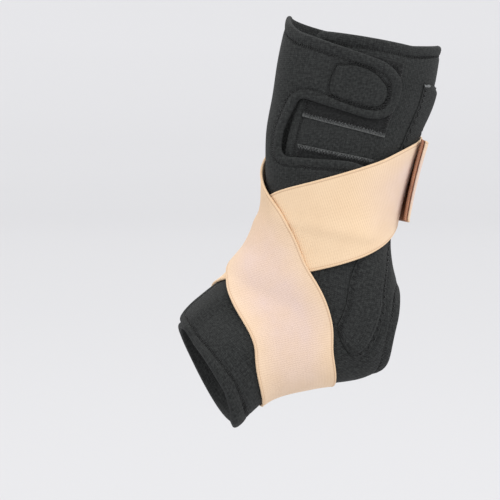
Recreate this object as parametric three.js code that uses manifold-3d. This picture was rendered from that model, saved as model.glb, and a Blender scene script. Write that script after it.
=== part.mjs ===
// Figure-of-eight ankle brace: a wrap-round foam sleeve for the right ankle, closed in front by two
// tabs and held by one elastic strap. Millimetres, +Z up. The origin is the middle of the ankle
// inside the sleeve, -X points to the toes, and -Y is the inner (medial) side of the ankle.
import * as THREE from "three";
import { mergeVertices } from "three/addons/utils/BufferGeometryUtils.js";
import Module from "manifold-3d";

const wasm = await Module();
wasm.setup();

// Size of the sleeve's inner form
const HEIGHT = 238; // sole at the toe end to the front of the top rim
const LENGTH = 153; // instep at the toe end to the back of the top rim
const HALF_WIDTH = 41; // at the two open ends

// Sheet thicknesses and the air left between layers
const WALL = 3.0; // laminated foam of the two panels
const GAP = 0.3; // between pieces that lie on each other
const PATCH_THICKNESS = 0.6; // loop fabric that the tabs fasten to
const STRAP_THICKNESS = 1.5;
const STRAP_AIR = 0.7; // between the strap and what it lies on
const PAD_THICKNESS = 1.6; // hook pad under the strap's end
const END_STAND_OFF = 3.5; // how far the stiff end's lower corner stands off the hollow of the leg

// The panels' front edges, tabs and heel opening, in degrees round the leg and millimetres
const TAB_WIDTH = 41;
const TAB_CORNER = 19; // radius of the tabs' rounded ends
const UPPER_TAB_END = 109; // degrees
const LOWER_TAB_END = 105; // degrees
const TAB_GAP = 26; // between the tabs
const MEDIAL_EDGE = 33; // degrees, front edge of the medial panel on the leg
const LATERAL_EDGE = 30; // degrees, front edge of the lateral panel between its tabs
const LATERAL_FOOT_EDGE = 12; // degrees, the same edge over the instep
const LAP_EDGE = -10; // degrees, edge of the medial panel where it laps over the instep
const HEEL_HOLE_WIDTH = 56;
const HEEL_HOLE_HEIGHT = 34;
const BEND_RADIUS = 20; // of the gentle bends in the panels' rims
const CORNER_RADIUS = 10; // of the panels' inner corners
const POINT_RADIUS = 5; // of their outer corners

// The strap, its hook pad and the stay pocket
const STRAP_WIDTH = 50;
const PAD_LENGTH = 39;
const PAD_LIP = 3; // how far the hook pad stands past the strap's end
const POCKET_WIDTH = 24;
const POCKET_CROWN = 2.0; // height of the stay's ridge
const POCKET_PRESSED = 0.6; // its height where the strap presses on it
const POCKET_EDGE = 0.5; // thickness of its flat borders

// Mesh steps
const COLUMN_DEGREES = 10;
const PANEL_ROWS = [
  { until: 0.4, rows: 8 },
  { until: 0.76, rows: 10 },
  { until: 1.03, rows: 11 },
];
const STRAP_STEPS = 104;
const STRAP_COLUMNS = 8;
const POCKET_STEPS = 34;
const POCKET_COLUMNS = 6;

// Sections of the inner form from the top rim (along 0) to the toe rim (along 1). A section is a
// squared ellipse between its front and back point: x as shares of LENGTH, z of HEIGHT, half as a
// share of HALF_WIDTH, and the exponents of its front and back half, 2 for a plain ellipse.
const SECTION_COLUMNS = ["along", "frontX", "frontZ", "backX", "backZ", "half", "front", "back"];
const SECTIONS = [
  [0.0, -0.121, 0.574, 0.435, 0.504, 1.0, 2.0, 2.0],
  [0.1, -0.16, 0.462, 0.412, 0.408, 0.963, 2.0, 2.0],
  [0.19, -0.183, 0.37, 0.392, 0.353, 0.927, 2.0, 2.0],
  [0.28, -0.206, 0.284, 0.346, 0.275, 0.878, 2.0, 2.0],
  [0.37, -0.21, 0.202, 0.304, 0.195, 0.829, 2.0, 2.0],
  [0.44, -0.206, 0.147, 0.268, 0.109, 0.805, 1.95, 1.95],
  [0.51, -0.205, 0.09, 0.242, 0.027, 0.817, 1.9, 1.9],
  [0.58, -0.226, 0.035, 0.248, -0.042, 0.841, 1.9, 1.9],
  [0.64, -0.265, -0.015, 0.271, -0.107, 0.854, 1.9, 2.0],
  [0.7, -0.316, -0.055, 0.301, -0.195, 0.854, 2.0, 2.1],
  [0.76, -0.356, -0.086, 0.253, -0.276, 0.829, 2.0, 2.3],
  [0.82, -0.402, -0.11, 0.132, -0.316, 0.841, 2.1, 2.6],
  [0.88, -0.457, -0.137, -0.069, -0.331, 0.878, 2.1, 2.6],
  [0.94, -0.502, -0.162, -0.248, -0.357, 0.927, 2.2, 2.7],
  [1.0, -0.549, -0.198, -0.382, -0.426, 1.0, 2.2, 2.7],
];

// Middle line of the strap: degrees round the leg (front 0, inner side 90, back 180, outer side 270
// or -90), share along the form, and width as a share of STRAP_WIDTH where the pull narrows it.
const STRAP_PATH = [
  { angle: 215, along: 0.365, width: 1 },
  { angle: 190, along: 0.372, width: 1 },
  { angle: 150, along: 0.395, width: 1 },
  { angle: 110, along: 0.455, width: 1 },
  { angle: 70, along: 0.514, width: 1 },
  { angle: 30, along: 0.577, width: 1 },
  { angle: -15, along: 0.665, width: 1 },
  { angle: -60, along: 0.775, width: 0.98 },
  { angle: -105, along: 0.852, width: 0.95 },
  { angle: -150, along: 0.892, width: 0.92 },
  { angle: -195, along: 0.909, width: 0.91 },
  { angle: -240, along: 0.894, width: 0.93 },
  { angle: -273, along: 0.85, width: 0.96 },
  { angle: -303, along: 0.765, width: 0.97 },
  { angle: -335, along: 0.658, width: 0.97 },
  { angle: -370, along: 0.52, width: 0.97 },
  { angle: -407, along: 0.435, width: 1 },
  { angle: -450, along: 0.386, width: 1 },
  { angle: -495, along: 0.38, width: 1 },
  { angle: -535, along: 0.391, width: 1 },
  { angle: -558, along: 0.388, width: 1 },
  { angle: -572, along: 0.386, width: 1 },
];

// Middle line of the stay pocket, down the inner side behind the ankle bone. The ridge is pressed
// flat where pressed is 1.
const POCKET_PATH = [
  { angle: 149, along: 0.112, pressed: 0.4 },
  { angle: 149, along: 0.2, pressed: 0.4 },
  { angle: 147, along: 0.3, pressed: 1 },
  { angle: 142, along: 0.4, pressed: 1 },
  { angle: 137, along: 0.47, pressed: 1 },
  { angle: 129, along: 0.54, pressed: 1 },
  { angle: 120, along: 0.6, pressed: 0 },
  { angle: 112, along: 0.66, pressed: 0 },
  { angle: 109, along: 0.72, pressed: 0 },
  { angle: 111, along: 0.79, pressed: 0 },
];

const radians = THREE.MathUtils.degToRad;

function smooth(share) {
  return THREE.MathUtils.smoothstep(share, 0, 1);
}

// A section at any share along the form: a cubic through the table, straight beyond its ends
const SLOPES = SECTIONS.map((row, i) => {
  const before = SECTIONS[Math.max(i - 1, 0)];
  const after = SECTIONS[Math.min(i + 1, SECTIONS.length - 1)];
  return row.map((_, column) => (after[column] - before[column]) / (after[0] - before[0]));
});

function section(along) {
  const last = SECTIONS.length - 2;
  const i = Math.min(Math.max(SECTIONS.findLastIndex((row) => row[0] <= along), 0), last);
  const span = SECTIONS[i + 1][0] - SECTIONS[i][0];
  const t = (along - SECTIONS[i][0]) / span;
  const values = SECTIONS[i].map((start, column) => {
    const end = SECTIONS[i + 1][column];
    const leave = SLOPES[i][column] * span;
    const arrive = SLOPES[i + 1][column] * span;
    if (t < 0) return start + leave * t;
    if (t > 1) return end + arrive * (t - 1);
    const t2 = t * t;
    const t3 = t2 * t;
    const rise = 3 * t2 - 2 * t3;
    return start * (1 - rise) + end * rise + leave * (t3 - 2 * t2 + t) + arrive * (t3 - t2);
  });
  return Object.fromEntries(SECTION_COLUMNS.map((name, column) => [name, values[column]]));
}

// A point of the inner form
function skin(angle, along) {
  const row = section(along);
  const c = Math.cos(radians(angle));
  const s = Math.sin(radians(angle));
  const exponent = (row.front + row.back) / 2 + ((row.front - row.back) / 2) * c;
  const k = (Math.abs(c) ** exponent + Math.abs(s) ** exponent) ** (-1 / exponent);
  const reach = k * c;
  const x = (row.frontX + row.backX) / 2 + ((row.frontX - row.backX) / 2) * reach;
  const z = (row.frontZ + row.backZ) / 2 + ((row.frontZ - row.backZ) / 2) * reach;
  return new THREE.Vector3(x * LENGTH, -row.half * HALF_WIDTH * k * s, z * HEIGHT);
}

// Steps used to measure directions on the form
const ANGLE_STEP = 0.5;
const ALONG_STEP = 0.004;

function outward(angle, along) {
  const round = skin(angle + ANGLE_STEP, along).sub(skin(angle - ANGLE_STEP, along));
  const down = skin(angle, along + ALONG_STEP).sub(skin(angle, along - ALONG_STEP));
  return down.cross(round).normalize();
}

// A point at a height above the inner form
function above(angle, along, height) {
  return skin(angle, along).addScaledVector(outward(angle, along), height);
}

// The flat pattern: millimetres round the leg and millimetres down its inner side
const ROUND = radians(1) * HALF_WIDTH; // pattern millimetres for a degree
const DOWN = lineLength((share) => skin(90, share)); // pattern millimetres for the whole length

function lineLength(point) {
  const steps = 50;
  let length = 0;
  for (let i = 0; i < steps; i += 1) {
    length += point(i / steps).distanceTo(point((i + 1) / steps));
  }
  return length;
}

function flat(corner) {
  return new THREE.Vector2(corner.angle * ROUND, -corner.along * DOWN);
}

// An outline on the pattern from its corners, each rounded by its radius in millimetres
function outline(corners) {
  const shape = new THREE.Shape();
  corners.forEach((corner, i) => {
    const here = flat(corner);
    const before = flat(corners.at(i - 1)).sub(here);
    const after = flat(corners[(i + 1) % corners.length]).sub(here);
    const half = before.angleTo(after) / 2;
    const limit = 0.48 * Math.min(before.length(), after.length());
    const cut = Math.min((corner.radius ?? 0) / Math.tan(half), limit);
    const start = before.setLength(cut).add(here);
    const end = after.setLength(cut).add(here);
    if (i === 0) shape.moveTo(start.x, start.y);
    else shape.lineTo(start.x, start.y);
    if (cut > 0) shape.quadraticCurveTo(here.x, here.y, end.x, end.y);
  });
  return shape;
}

function toSolid(geometry) {
  geometry.deleteAttribute("normal");
  geometry.deleteAttribute("uv");
  const merged = mergeVertices(geometry, 1e-4);
  const vertProperties = new Float32Array(merged.attributes.position.array);
  const triVerts = new Uint32Array(merged.index.array);
  return new wasm.Manifold(new wasm.Mesh({ numProp: 3, vertProperties, triVerts }));
}

function toGeometry(points, triangles) {
  const geometry = new THREE.BufferGeometry();
  geometry.setAttribute("position", new THREE.Float32BufferAttribute(points, 3));
  geometry.setIndex(triangles);
  geometry.computeVertexNormals();
  return geometry;
}

// The flat sheet is bowed a little while it is cut, so that the cut keeps all of its grid points
const BOW = 0.0005;

function bow(x, y) {
  return (BOW * (x * x + y * y)) / 2;
}

// Shares along the form where the panels' sheets have their grid rows
function panelRows() {
  const places = [-0.02];
  for (const { until, rows } of PANEL_ROWS) {
    const from = places.at(-1);
    for (let i = 1; i <= rows; i += 1) places.push(THREE.MathUtils.lerp(from, until, i / rows));
  }
  return places;
}

// A curved panel: a gridded flat sheet cut to its outline and openings, then laid on the form.
// lift gives the height of the sheet's underside.
function panel({ corners, holes, fromAngle, toAngle, lift }) {
  const columns = Math.round((toAngle - fromAngle) / COLUMN_DEGREES);
  const rowPlaces = panelRows();
  const rows = rowPlaces.length - 1;
  const width = (toAngle - fromAngle) * ROUND;
  const sheet = new THREE.BoxGeometry(width, rows, WALL, columns, rows, 1);
  sheet.translate(fromAngle * ROUND + width / 2, -rows / 2, WALL / 2);
  const grid = sheet.attributes.position;
  for (let i = 0; i < grid.count; i += 1) {
    grid.setY(i, -rowPlaces[Math.round(-grid.getY(i))] * DOWN);
    grid.setZ(i, grid.getZ(i) + bow(grid.getX(i), grid.getY(i)));
  }
  const cutDepth = WALL + bow(180 * ROUND, DOWN) * 1.5;
  const settings = { depth: cutDepth + 2, bevelEnabled: false, curveSegments: 6 };
  const cutter = (shape) => toSolid(new THREE.ExtrudeGeometry(shape, settings).translate(0, 0, -1));
  let solid = toSolid(sheet).intersect(cutter(outline(corners)));
  for (const hole of holes) solid = solid.subtract(cutter(hole));
  const mesh = solid.getMesh();
  const points = [];
  for (let i = 0; i < mesh.vertProperties.length; i += 3) {
    const [x, y, z] = mesh.vertProperties.subarray(i, i + 3);
    const angle = x / ROUND;
    const along = -y / DOWN;
    points.push(...above(angle, along, lift(angle, along) + z - bow(x, y)).toArray());
  }
  return toGeometry(points, Array.from(mesh.triVerts));
}

// A closed shell between an underside and a top side, both grids of points with the same rows
function shell(under, top) {
  const rows = top.length;
  const columns = top[0].length;
  const points = [...top.flat(), ...under.flat()].flatMap((point) => point.toArray());
  const topAt = (i, j) => i * columns + j;
  const underAt = (i, j) => rows * columns + i * columns + j;
  const triangles = [];
  const quad = (a, b, c, d) => triangles.push(a, b, c, a, c, d);
  for (let i = 0; i < rows - 1; i += 1) {
    for (let j = 0; j < columns - 1; j += 1) {
      quad(topAt(i, j), topAt(i + 1, j), topAt(i + 1, j + 1), topAt(i, j + 1));
      quad(underAt(i, j), underAt(i, j + 1), underAt(i + 1, j + 1), underAt(i + 1, j));
    }
    const last = columns - 1;
    quad(topAt(i, 0), underAt(i, 0), underAt(i + 1, 0), topAt(i + 1, 0));
    quad(topAt(i, last), topAt(i + 1, last), underAt(i + 1, last), underAt(i, last));
  }
  for (let j = 0; j < columns - 1; j += 1) {
    const last = rows - 1;
    quad(topAt(0, j), topAt(0, j + 1), underAt(0, j + 1), underAt(0, j));
    quad(topAt(last, j), underAt(last, j), underAt(last, j + 1), topAt(last, j + 1));
  }
  return toGeometry(points, triangles);
}

// Points along a smooth curve (cubic B-spline) that starts and ends at the table's end points
function curvePoints(table, steps) {
  const mirror = (end, inner) => {
    return Object.fromEntries(Object.keys(end).map((key) => [key, 2 * end[key] - inner[key]]));
  };
  const knots = [mirror(table[0], table[1]), ...table, mirror(table.at(-1), table.at(-2))];
  const points = [];
  for (let step = 0; step <= steps; step += 1) {
    const place = (step / steps) * (table.length - 1);
    const i = Math.min(Math.floor(place), table.length - 2);
    const t = place - i;
    const weights = [(1 - t) ** 3, 3 * t ** 3 - 6 * t * t + 4, -3 * t ** 3 + 3 * t * t + 3 * t + 1, t ** 3];
    const blend = (key) => weights.reduce((sum, weight, k) => sum + weight * knots[i + k][key], 0) / 6;
    points.push(Object.fromEntries(Object.keys(table[0]).map((key) => [key, blend(key)])));
  }
  return points;
}

// How far angle and along change for a step across the form, at a height above it
function stepOnForm(place, step, height) {
  const { angle, along } = place;
  const turn = above(angle + 2 * ANGLE_STEP, along, height);
  turn.sub(above(angle - 2 * ANGLE_STEP, along, height)).divideScalar(4 * ANGLE_STEP);
  const drop = above(angle, along + ALONG_STEP, height);
  drop.sub(above(angle, along - ALONG_STEP, height)).divideScalar(2 * ALONG_STEP);
  const turnTurn = turn.dot(turn);
  const dropDrop = drop.dot(drop);
  const turnDrop = turn.dot(drop);
  const scale = turnTurn * dropDrop - turnDrop * turnDrop;
  return {
    angle: (step.dot(turn) * dropDrop - step.dot(drop) * turnDrop) / scale,
    along: (step.dot(drop) * turnTurn - step.dot(turn) * turnDrop) / scale,
  };
}

// The places of a flat band that lies along a middle line: rows along the line, columns across it
function bandPlaces(line, halfWidth, columns, height) {
  const middle = line.map(({ angle, along }) => above(angle, along, height));
  return line.map((place, i) => {
    const ahead = middle[Math.min(i + 1, middle.length - 1)];
    const behind = middle[Math.max(i - 1, 0)];
    const across = outward(place.angle, place.along).cross(ahead.clone().sub(behind)).normalize();
    const sides = [-1, 1].map((side) => {
      const walk = [];
      const direction = across.clone().multiplyScalar(side);
      const here = { angle: place.angle, along: place.along };
      const stride = (2 * halfWidth(place)) / columns;
      for (let j = 0; j < columns / 2; j += 1) {
        const change = stepOnForm(here, direction.clone().multiplyScalar(stride), height);
        here.angle += change.angle;
        here.along += change.along;
        direction.projectOnPlane(outward(here.angle, here.along)).normalize();
        walk.push({ ...here });
      }
      return walk;
    });
    return [...sides[0].reverse(), { angle: place.angle, along: place.along }, ...sides[1]];
  });
}

// Heights of what the strap lies on. A thing under it lifts the strap fully as far as margin beyond
// its edge, and the strap comes down again over SKIRT.
const SKIRT = 12;
const MARGIN = 3;
const BRIDGE = 7; // how much further the second layer of strap spans

function cover(distance, layer) {
  return 1 - smooth((distance - MARGIN - BRIDGE * layer) / SKIRT);
}

function wrapped(angle) {
  return ((((angle + 180) % 360) + 360) % 360) - 180;
}

function boxDistance(place, box) {
  const angle = wrapped(place.angle);
  const round = Math.max(box.fromAngle - angle, angle - box.toAngle, 0) * ROUND;
  const down = Math.max(box.fromAlong - place.along, place.along - box.toAlong, 0) * DOWN;
  return Math.hypot(round, down);
}

function distanceToLine(place, line) {
  const point = skin(place.angle, place.along);
  return line.reduce((least, other) => Math.min(least, point.distanceTo(other.point)), Infinity);
}

// Underside heights of the two panels: the tabs rise over the medial panel and its patches, and the
// medial panel rises over the lateral one at the instep
const TAB_RISE_START = -15;
const LAP_RISE_END = 37;
const tabHeight = WALL + GAP + PATCH_THICKNESS + GAP;
const lapHeight = WALL + GAP;

function lateralLift(angle, along) {
  const full = MEDIAL_EDGE - 3;
  const start = THREE.MathUtils.lerp(TAB_RISE_START, LATERAL_FOOT_EDGE, smooth((along - 0.4) / 0.12));
  return tabHeight * smooth((angle - start) / (full - start));
}

function medialLift(angle) {
  const full = LATERAL_FOOT_EDGE + COLUMN_DEGREES;
  return lapHeight * smooth((LAP_RISE_END - angle) / (LAP_RISE_END - full));
}

// Where the tabs and the patches lie, as shares along the form
const TAB_TILT = 0.0009; // fall of the upper tab, share for a degree
const upperTabTop = 0.088; // at its end
const upperTabBottom = upperTabTop + TAB_WIDTH / DOWN;
const lowerTabTop = 0.352;
const lowerTabBottom = lowerTabTop + TAB_WIDTH / DOWN;

const seamAngle = 180 - GAP / 2 / (0.8 * ROUND); // leaves GAP between the panels at the back seam

const heelHole = (side) => {
  const middle = flat({ angle: 180 * side, along: 0.718 });
  const shape = new THREE.Shape();
  shape.absellipse(middle.x, middle.y, HEEL_HOLE_WIDTH / 2, HEEL_HOLE_HEIGHT / 2, 0, 2 * Math.PI);
  return shape;
};

function lateralPanel() {
  const upperAt = (angle, edge) => edge - (UPPER_TAB_END - angle) * TAB_TILT;
  const gapTop = lowerTabTop - TAB_GAP / DOWN;
  return panel({
    corners: [
      { angle: -seamAngle, along: 0 },
      { angle: -8, along: 0, radius: BEND_RADIUS },
      { angle: 30, along: 0.043, radius: BEND_RADIUS },
      { angle: UPPER_TAB_END, along: upperTabTop, radius: TAB_CORNER },
      { angle: UPPER_TAB_END, along: upperTabBottom, radius: TAB_CORNER * 0.7 },
      { angle: LATERAL_EDGE + 9, along: upperAt(LATERAL_EDGE + 9, upperTabBottom), radius: POINT_RADIUS },
      { angle: LATERAL_EDGE, along: gapTop + 0.03, radius: BEND_RADIUS },
      { angle: LATERAL_EDGE - 1, along: lowerTabTop - 0.012, radius: CORNER_RADIUS },
      { angle: LOWER_TAB_END, along: lowerTabTop, radius: TAB_CORNER },
      { angle: LOWER_TAB_END, along: lowerTabBottom, radius: TAB_CORNER },
      { angle: LATERAL_FOOT_EDGE, along: lowerTabBottom, radius: CORNER_RADIUS },
      { angle: LATERAL_FOOT_EDGE, along: 1.005, radius: POINT_RADIUS },
      { angle: -seamAngle, along: 1 },
    ],
    holes: [heelHole(-1)],
    fromAngle: -180,
    toAngle: 120,
    lift: lateralLift,
  });
}

function medialPanel() {
  return panel({
    corners: [
      { angle: seamAngle, along: 0 },
      { angle: seamAngle, along: 1 },
      { angle: 134, along: 1.008, radius: BEND_RADIUS },
      { angle: 98, along: 1, radius: BEND_RADIUS },
      { angle: 36, along: 1.01, radius: BEND_RADIUS },
      { angle: LAP_EDGE, along: 0.985, radius: CORNER_RADIUS },
      { angle: LAP_EDGE, along: 0.63, radius: CORNER_RADIUS },
      { angle: MEDIAL_EDGE, along: 0.545, radius: CORNER_RADIUS },
      { angle: MEDIAL_EDGE - 2, along: 0.33, radius: CORNER_RADIUS },
      { angle: MEDIAL_EDGE + 8, along: 0.034, radius: POINT_RADIUS },
      { angle: 115, along: 0.031, radius: BEND_RADIUS },
      { angle: 154, along: 0.008, radius: BEND_RADIUS },
    ],
    holes: [heelHole(1)],
    fromAngle: -20,
    toAngle: 180,
    lift: medialLift,
  });
}

// A thin patch on the medial panel between a top and a bottom edge, each given at its two ends
function patch({ fromAngle, toAngle, topEdge, bottomEdge }) {
  const rows = 5;
  const angles = [fromAngle];
  const nextColumn = (angle) => (Math.floor(angle / COLUMN_DEGREES) + 1) * COLUMN_DEGREES;
  while (nextColumn(angles.at(-1)) < toAngle) angles.push(nextColumn(angles.at(-1)));
  angles.push(toAngle);
  const side = (height) => {
    return Array.from({ length: rows + 1 }, (_, i) => {
      return angles.map((angle) => {
        const across = (angle - fromAngle) / (toAngle - fromAngle);
        const top = THREE.MathUtils.lerp(topEdge[0], topEdge[1], across);
        const bottom = THREE.MathUtils.lerp(bottomEdge[0], bottomEdge[1], across);
        return above(angle, THREE.MathUtils.lerp(top, bottom, i / rows), height);
      });
    });
  };
  return shell(side(WALL + GAP), side(WALL + GAP + PATCH_THICKNESS));
}

// The stay pocket: thin borders and a crowned ridge over the stay
function pocketRidge(place) {
  return THREE.MathUtils.lerp(POCKET_CROWN, POCKET_PRESSED, smooth(place.pressed));
}

const pocketLine = curvePoints(POCKET_PATH, POCKET_STEPS).map((place) => {
  return { ...place, point: skin(place.angle, place.along) };
});

function stayPocket() {
  const places = bandPlaces(pocketLine, () => POCKET_WIDTH / 2, POCKET_COLUMNS, WALL);
  const base = WALL + GAP;
  const under = places.map((row) => row.map(({ angle, along }) => above(angle, along, base)));
  const top = places.map((row, i) => {
    return row.map(({ angle, along }, j) => {
      const side = Math.abs((2 * j) / POCKET_COLUMNS - 1);
      const crown = Math.max(0, 1 - side ** 4);
      const rise = Math.max(pocketRidge(pocketLine[i]) - POCKET_EDGE, 0) * crown;
      return above(angle, along, base + POCKET_EDGE + rise);
    });
  });
  return shell(under, top);
}

// The strap's places, and the height of its underside at each of them
const halfStrap = (place) => (STRAP_WIDTH / 2) * place.width;
const strapLine = curvePoints(STRAP_PATH, STRAP_STEPS).map((place) => {
  return { ...place, point: skin(place.angle, place.along) };
});
const strapPlaces = bandPlaces(strapLine, halfStrap, STRAP_COLUMNS, WALL + STRAP_AIR);

// The first stretch lies against the sleeve as far as the sole, and the second passes over it from
// where it has come up from the sole
const SOLE_ENTRY = -110; // degrees
const SOLE_EXIT = -240; // degrees
const SECOND_STRETCH = -300; // degrees
const strapRun = strapLine.map((place, i) => {
  if (i === 0) return 0;
  const here = above(place.angle, place.along, WALL);
  return here.distanceTo(above(strapLine[i - 1].angle, strapLine[i - 1].along, WALL));
});
for (let i = 1; i < strapRun.length; i += 1) strapRun[i] += strapRun[i - 1];
const strapLength = strapRun.at(-1);
const firstStretch = strapLine.filter((place) => place.angle > SOLE_ENTRY);

function restHeight(place, layer) {
  const angle = wrapped(place.angle);
  const tab = { fromAngle: TAB_RISE_START, toAngle: LOWER_TAB_END };
  const tabBox = { ...tab, fromAlong: lowerTabTop, toAlong: lowerTabBottom };
  const lapBox = { fromAngle: LAP_EDGE, toAngle: LAP_RISE_END, fromAlong: 0.57, toAlong: 1 };
  const reach = (MARGIN + BRIDGE * layer) / ROUND;
  const tabAt = Math.min(place.along, lowerTabBottom);
  const onTab = lateralLift(angle + reach, tabAt) * cover(boxDistance(place, tabBox), layer);
  const onLap = medialLift(angle - reach) * cover(boxDistance(place, lapBox), layer);
  const nearest = pocketLine.reduce((best, other) => {
    const point = skin(place.angle, place.along);
    return point.distanceTo(other.point) < point.distanceTo(best.point) ? other : best;
  });
  const fromPocket = distanceToLine(place, [nearest]) - POCKET_WIDTH / 2;
  const onPocket = (GAP + pocketRidge(nearest)) * cover(fromPocket, layer);
  return WALL + Math.max(onTab, onLap, onPocket) + STRAP_AIR;
}

function strapHeight(place, i, j) {
  const layer = smooth((SOLE_EXIT - strapLine[i].angle) / (SOLE_EXIT - SECOND_STRETCH));
  if (layer === 0) return restHeight(place, 0);
  const fromFirst = distanceToLine(place, firstStretch) - STRAP_WIDTH / 2;
  const onFirst = (STRAP_THICKNESS + STRAP_AIR) * cover(fromFirst, 0);
  const padStart = strapLength - PAD_LENGTH;
  const onPad = (PAD_THICKNESS + GAP) * smooth((strapRun[i] - padStart) / SKIRT + 1.2);
  const standOff = END_STAND_OFF * (j / STRAP_COLUMNS) * smooth((strapRun[i] - padStart) / PAD_LENGTH);
  return restHeight(place, layer) + onFirst * layer + onPad + standOff;
}

// The stretched strap bridges a hollow: a point sinks below its neighbours' mean by the sag at most
const TAUT_ROUNDS = 10;
const SAG = 0.25;

function tautened(heights) {
  let taut = heights;
  for (let round = 0; round < TAUT_ROUNDS; round += 1) {
    taut = taut.map((row, i) => {
      const before = taut[Math.max(i - 1, 0)];
      const after = taut[Math.min(i + 1, taut.length - 1)];
      return row.map((height, j) => Math.max(height, (before[j] + after[j]) / 2 - SAG));
    });
  }
  return taut;
}

const strapUnder = tautened(strapPlaces.map((row, i) => row.map((place, j) => strapHeight(place, i, j))));
const strapEnd = strapRun.findIndex((run) => run > strapLength - PAD_LIP);

function elasticStrap() {
  const side = (rise) => {
    return strapPlaces.slice(0, strapEnd).map((row, i) => {
      return row.map(({ angle, along }, j) => above(angle, along, strapUnder[i][j] + rise));
    });
  };
  return shell(side(0), side(STRAP_THICKNESS));
}

// The hook pad fills the space between the strap's end and the stretch that it fastens to
function hookPad() {
  const first = strapRun.findIndex((run) => run > strapLength - PAD_LENGTH);
  const rows = strapPlaces.slice(first).map((row, i) => {
    return row.map((place, j) => ({ ...place, top: strapUnder[first + i][j] - GAP }));
  });
  const side = (drop) => {
    return rows.map((row) => row.map(({ angle, along, top }) => above(angle, along, top - drop)));
  };
  return shell(side(PAD_THICKNESS), side(0));
}

const foam = { color: 0x2f3132, roughness: 0.85, metalness: 0 };
const loopFabric = { color: 0x232526, roughness: 0.95, metalness: 0 };
const elastic = { color: 0xf0d2b0, roughness: 0.75, metalness: 0 };
const hookFabric = { color: 0x6e4b3c, roughness: 0.8, metalness: 0 };

const patchFrom = MEDIAL_EDGE + 10;
const pieces = [
  { name: "medial_panel", finish: foam, geometry: medialPanel() },
  { name: "lateral_panel", finish: foam, geometry: lateralPanel() },
  {
    name: "upper_landing_patch",
    finish: loopFabric,
    geometry: patch({
      fromAngle: patchFrom,
      toAngle: UPPER_TAB_END,
      topEdge: [0.06, 0.075],
      bottomEdge: [0.238, 0.284],
    }),
  },
  {
    name: "lower_landing_patch",
    finish: loopFabric,
    geometry: patch({
      fromAngle: patchFrom,
      toAngle: LOWER_TAB_END,
      topEdge: [0.307, 0.345],
      bottomEdge: [lowerTabBottom, lowerTabBottom],
    }),
  },
  { name: "stay_pocket", finish: loopFabric, geometry: stayPocket() },
  { name: "elastic_strap", finish: elastic, geometry: elasticStrap() },
  { name: "strap_hook_pad", finish: hookFabric, geometry: hookPad() },
];

const group = new THREE.Group();
for (const piece of pieces) {
  const mesh = new THREE.Mesh(piece.geometry, new THREE.MeshStandardMaterial(piece.finish));
  mesh.name = piece.name;
  group.add(mesh);
}

export default group;
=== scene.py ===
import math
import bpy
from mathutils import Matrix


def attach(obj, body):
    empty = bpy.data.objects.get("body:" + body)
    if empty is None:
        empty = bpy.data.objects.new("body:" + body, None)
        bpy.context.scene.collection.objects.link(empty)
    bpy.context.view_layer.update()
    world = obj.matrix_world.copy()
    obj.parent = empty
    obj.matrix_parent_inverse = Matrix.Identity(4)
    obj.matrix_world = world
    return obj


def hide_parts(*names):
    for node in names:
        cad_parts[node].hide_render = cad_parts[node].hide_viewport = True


bl_info = {
    "name": "Figure-of-eight ankle brace",
    "version": (1, 0, 0),
    "blender": (4, 5, 0),
    "location": "View3D > Sidebar > Ankle brace",
    "description": "Foam sleeve, tabs, loop patches, stay pocket and elastic strap of a right ankle brace",
    "category": "Add Mesh",
}

import bmesh
import bpy
import numpy as np
from bpy.props import FloatProperty, FloatVectorProperty, PointerProperty
from mathutils import Matrix, Vector
from mathutils.geometry import delaunay_2d_cdt
from mathutils.kdtree import KDTree

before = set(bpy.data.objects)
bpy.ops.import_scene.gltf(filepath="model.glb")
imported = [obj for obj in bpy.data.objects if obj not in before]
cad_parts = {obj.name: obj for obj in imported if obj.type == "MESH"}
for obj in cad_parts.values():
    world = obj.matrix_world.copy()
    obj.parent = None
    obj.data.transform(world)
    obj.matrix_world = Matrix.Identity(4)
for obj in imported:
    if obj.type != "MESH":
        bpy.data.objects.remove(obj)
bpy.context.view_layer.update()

MM = 0.001

# The cloth's UV maps have one unit for 100 mm
UV_PER_MM = 0.01

# Size of the sleeve's inner form, in millimetres, as in the part's source
HEIGHT = 238.0
LENGTH = 153.0
HALF_WIDTH = 41.0

# Layers that lie on each other, in millimetres
GAP = 0.3
SEAM_GAP = 0.04
PATCH_THICKNESS = 0.6
PAD_THICKNESS = 1.6
END_STAND_OFF = 3.5

# Sections of the form: share along it, front point, back point, half width, exponents
SECTIONS = np.array([
    [0.0, -0.121, 0.574, 0.435, 0.504, 1.0, 2.0, 2.0],
    [0.1, -0.16, 0.462, 0.412, 0.408, 0.963, 2.0, 2.0],
    [0.19, -0.183, 0.37, 0.392, 0.353, 0.927, 2.0, 2.0],
    [0.28, -0.206, 0.284, 0.346, 0.275, 0.878, 2.0, 2.0],
    [0.37, -0.21, 0.202, 0.304, 0.195, 0.829, 2.0, 2.0],
    [0.44, -0.206, 0.147, 0.268, 0.109, 0.805, 1.95, 1.95],
    [0.51, -0.205, 0.09, 0.242, 0.027, 0.817, 1.9, 1.9],
    [0.58, -0.226, 0.035, 0.248, -0.042, 0.841, 1.9, 1.9],
    [0.64, -0.265, -0.015, 0.271, -0.107, 0.854, 1.9, 2.0],
    [0.7, -0.316, -0.055, 0.301, -0.195, 0.854, 2.0, 2.1],
    [0.76, -0.356, -0.086, 0.253, -0.276, 0.829, 2.0, 2.3],
    [0.82, -0.402, -0.11, 0.132, -0.316, 0.841, 2.1, 2.6],
    [0.88, -0.457, -0.137, -0.069, -0.331, 0.878, 2.1, 2.6],
    [0.94, -0.502, -0.162, -0.248, -0.357, 0.927, 2.2, 2.7],
    [1.0, -0.549, -0.198, -0.382, -0.426, 1.0, 2.2, 2.7],
])
SECTION_SIZES = np.array([1, LENGTH, HEIGHT, LENGTH, HEIGHT, HALF_WIDTH, 1, 1])

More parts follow.
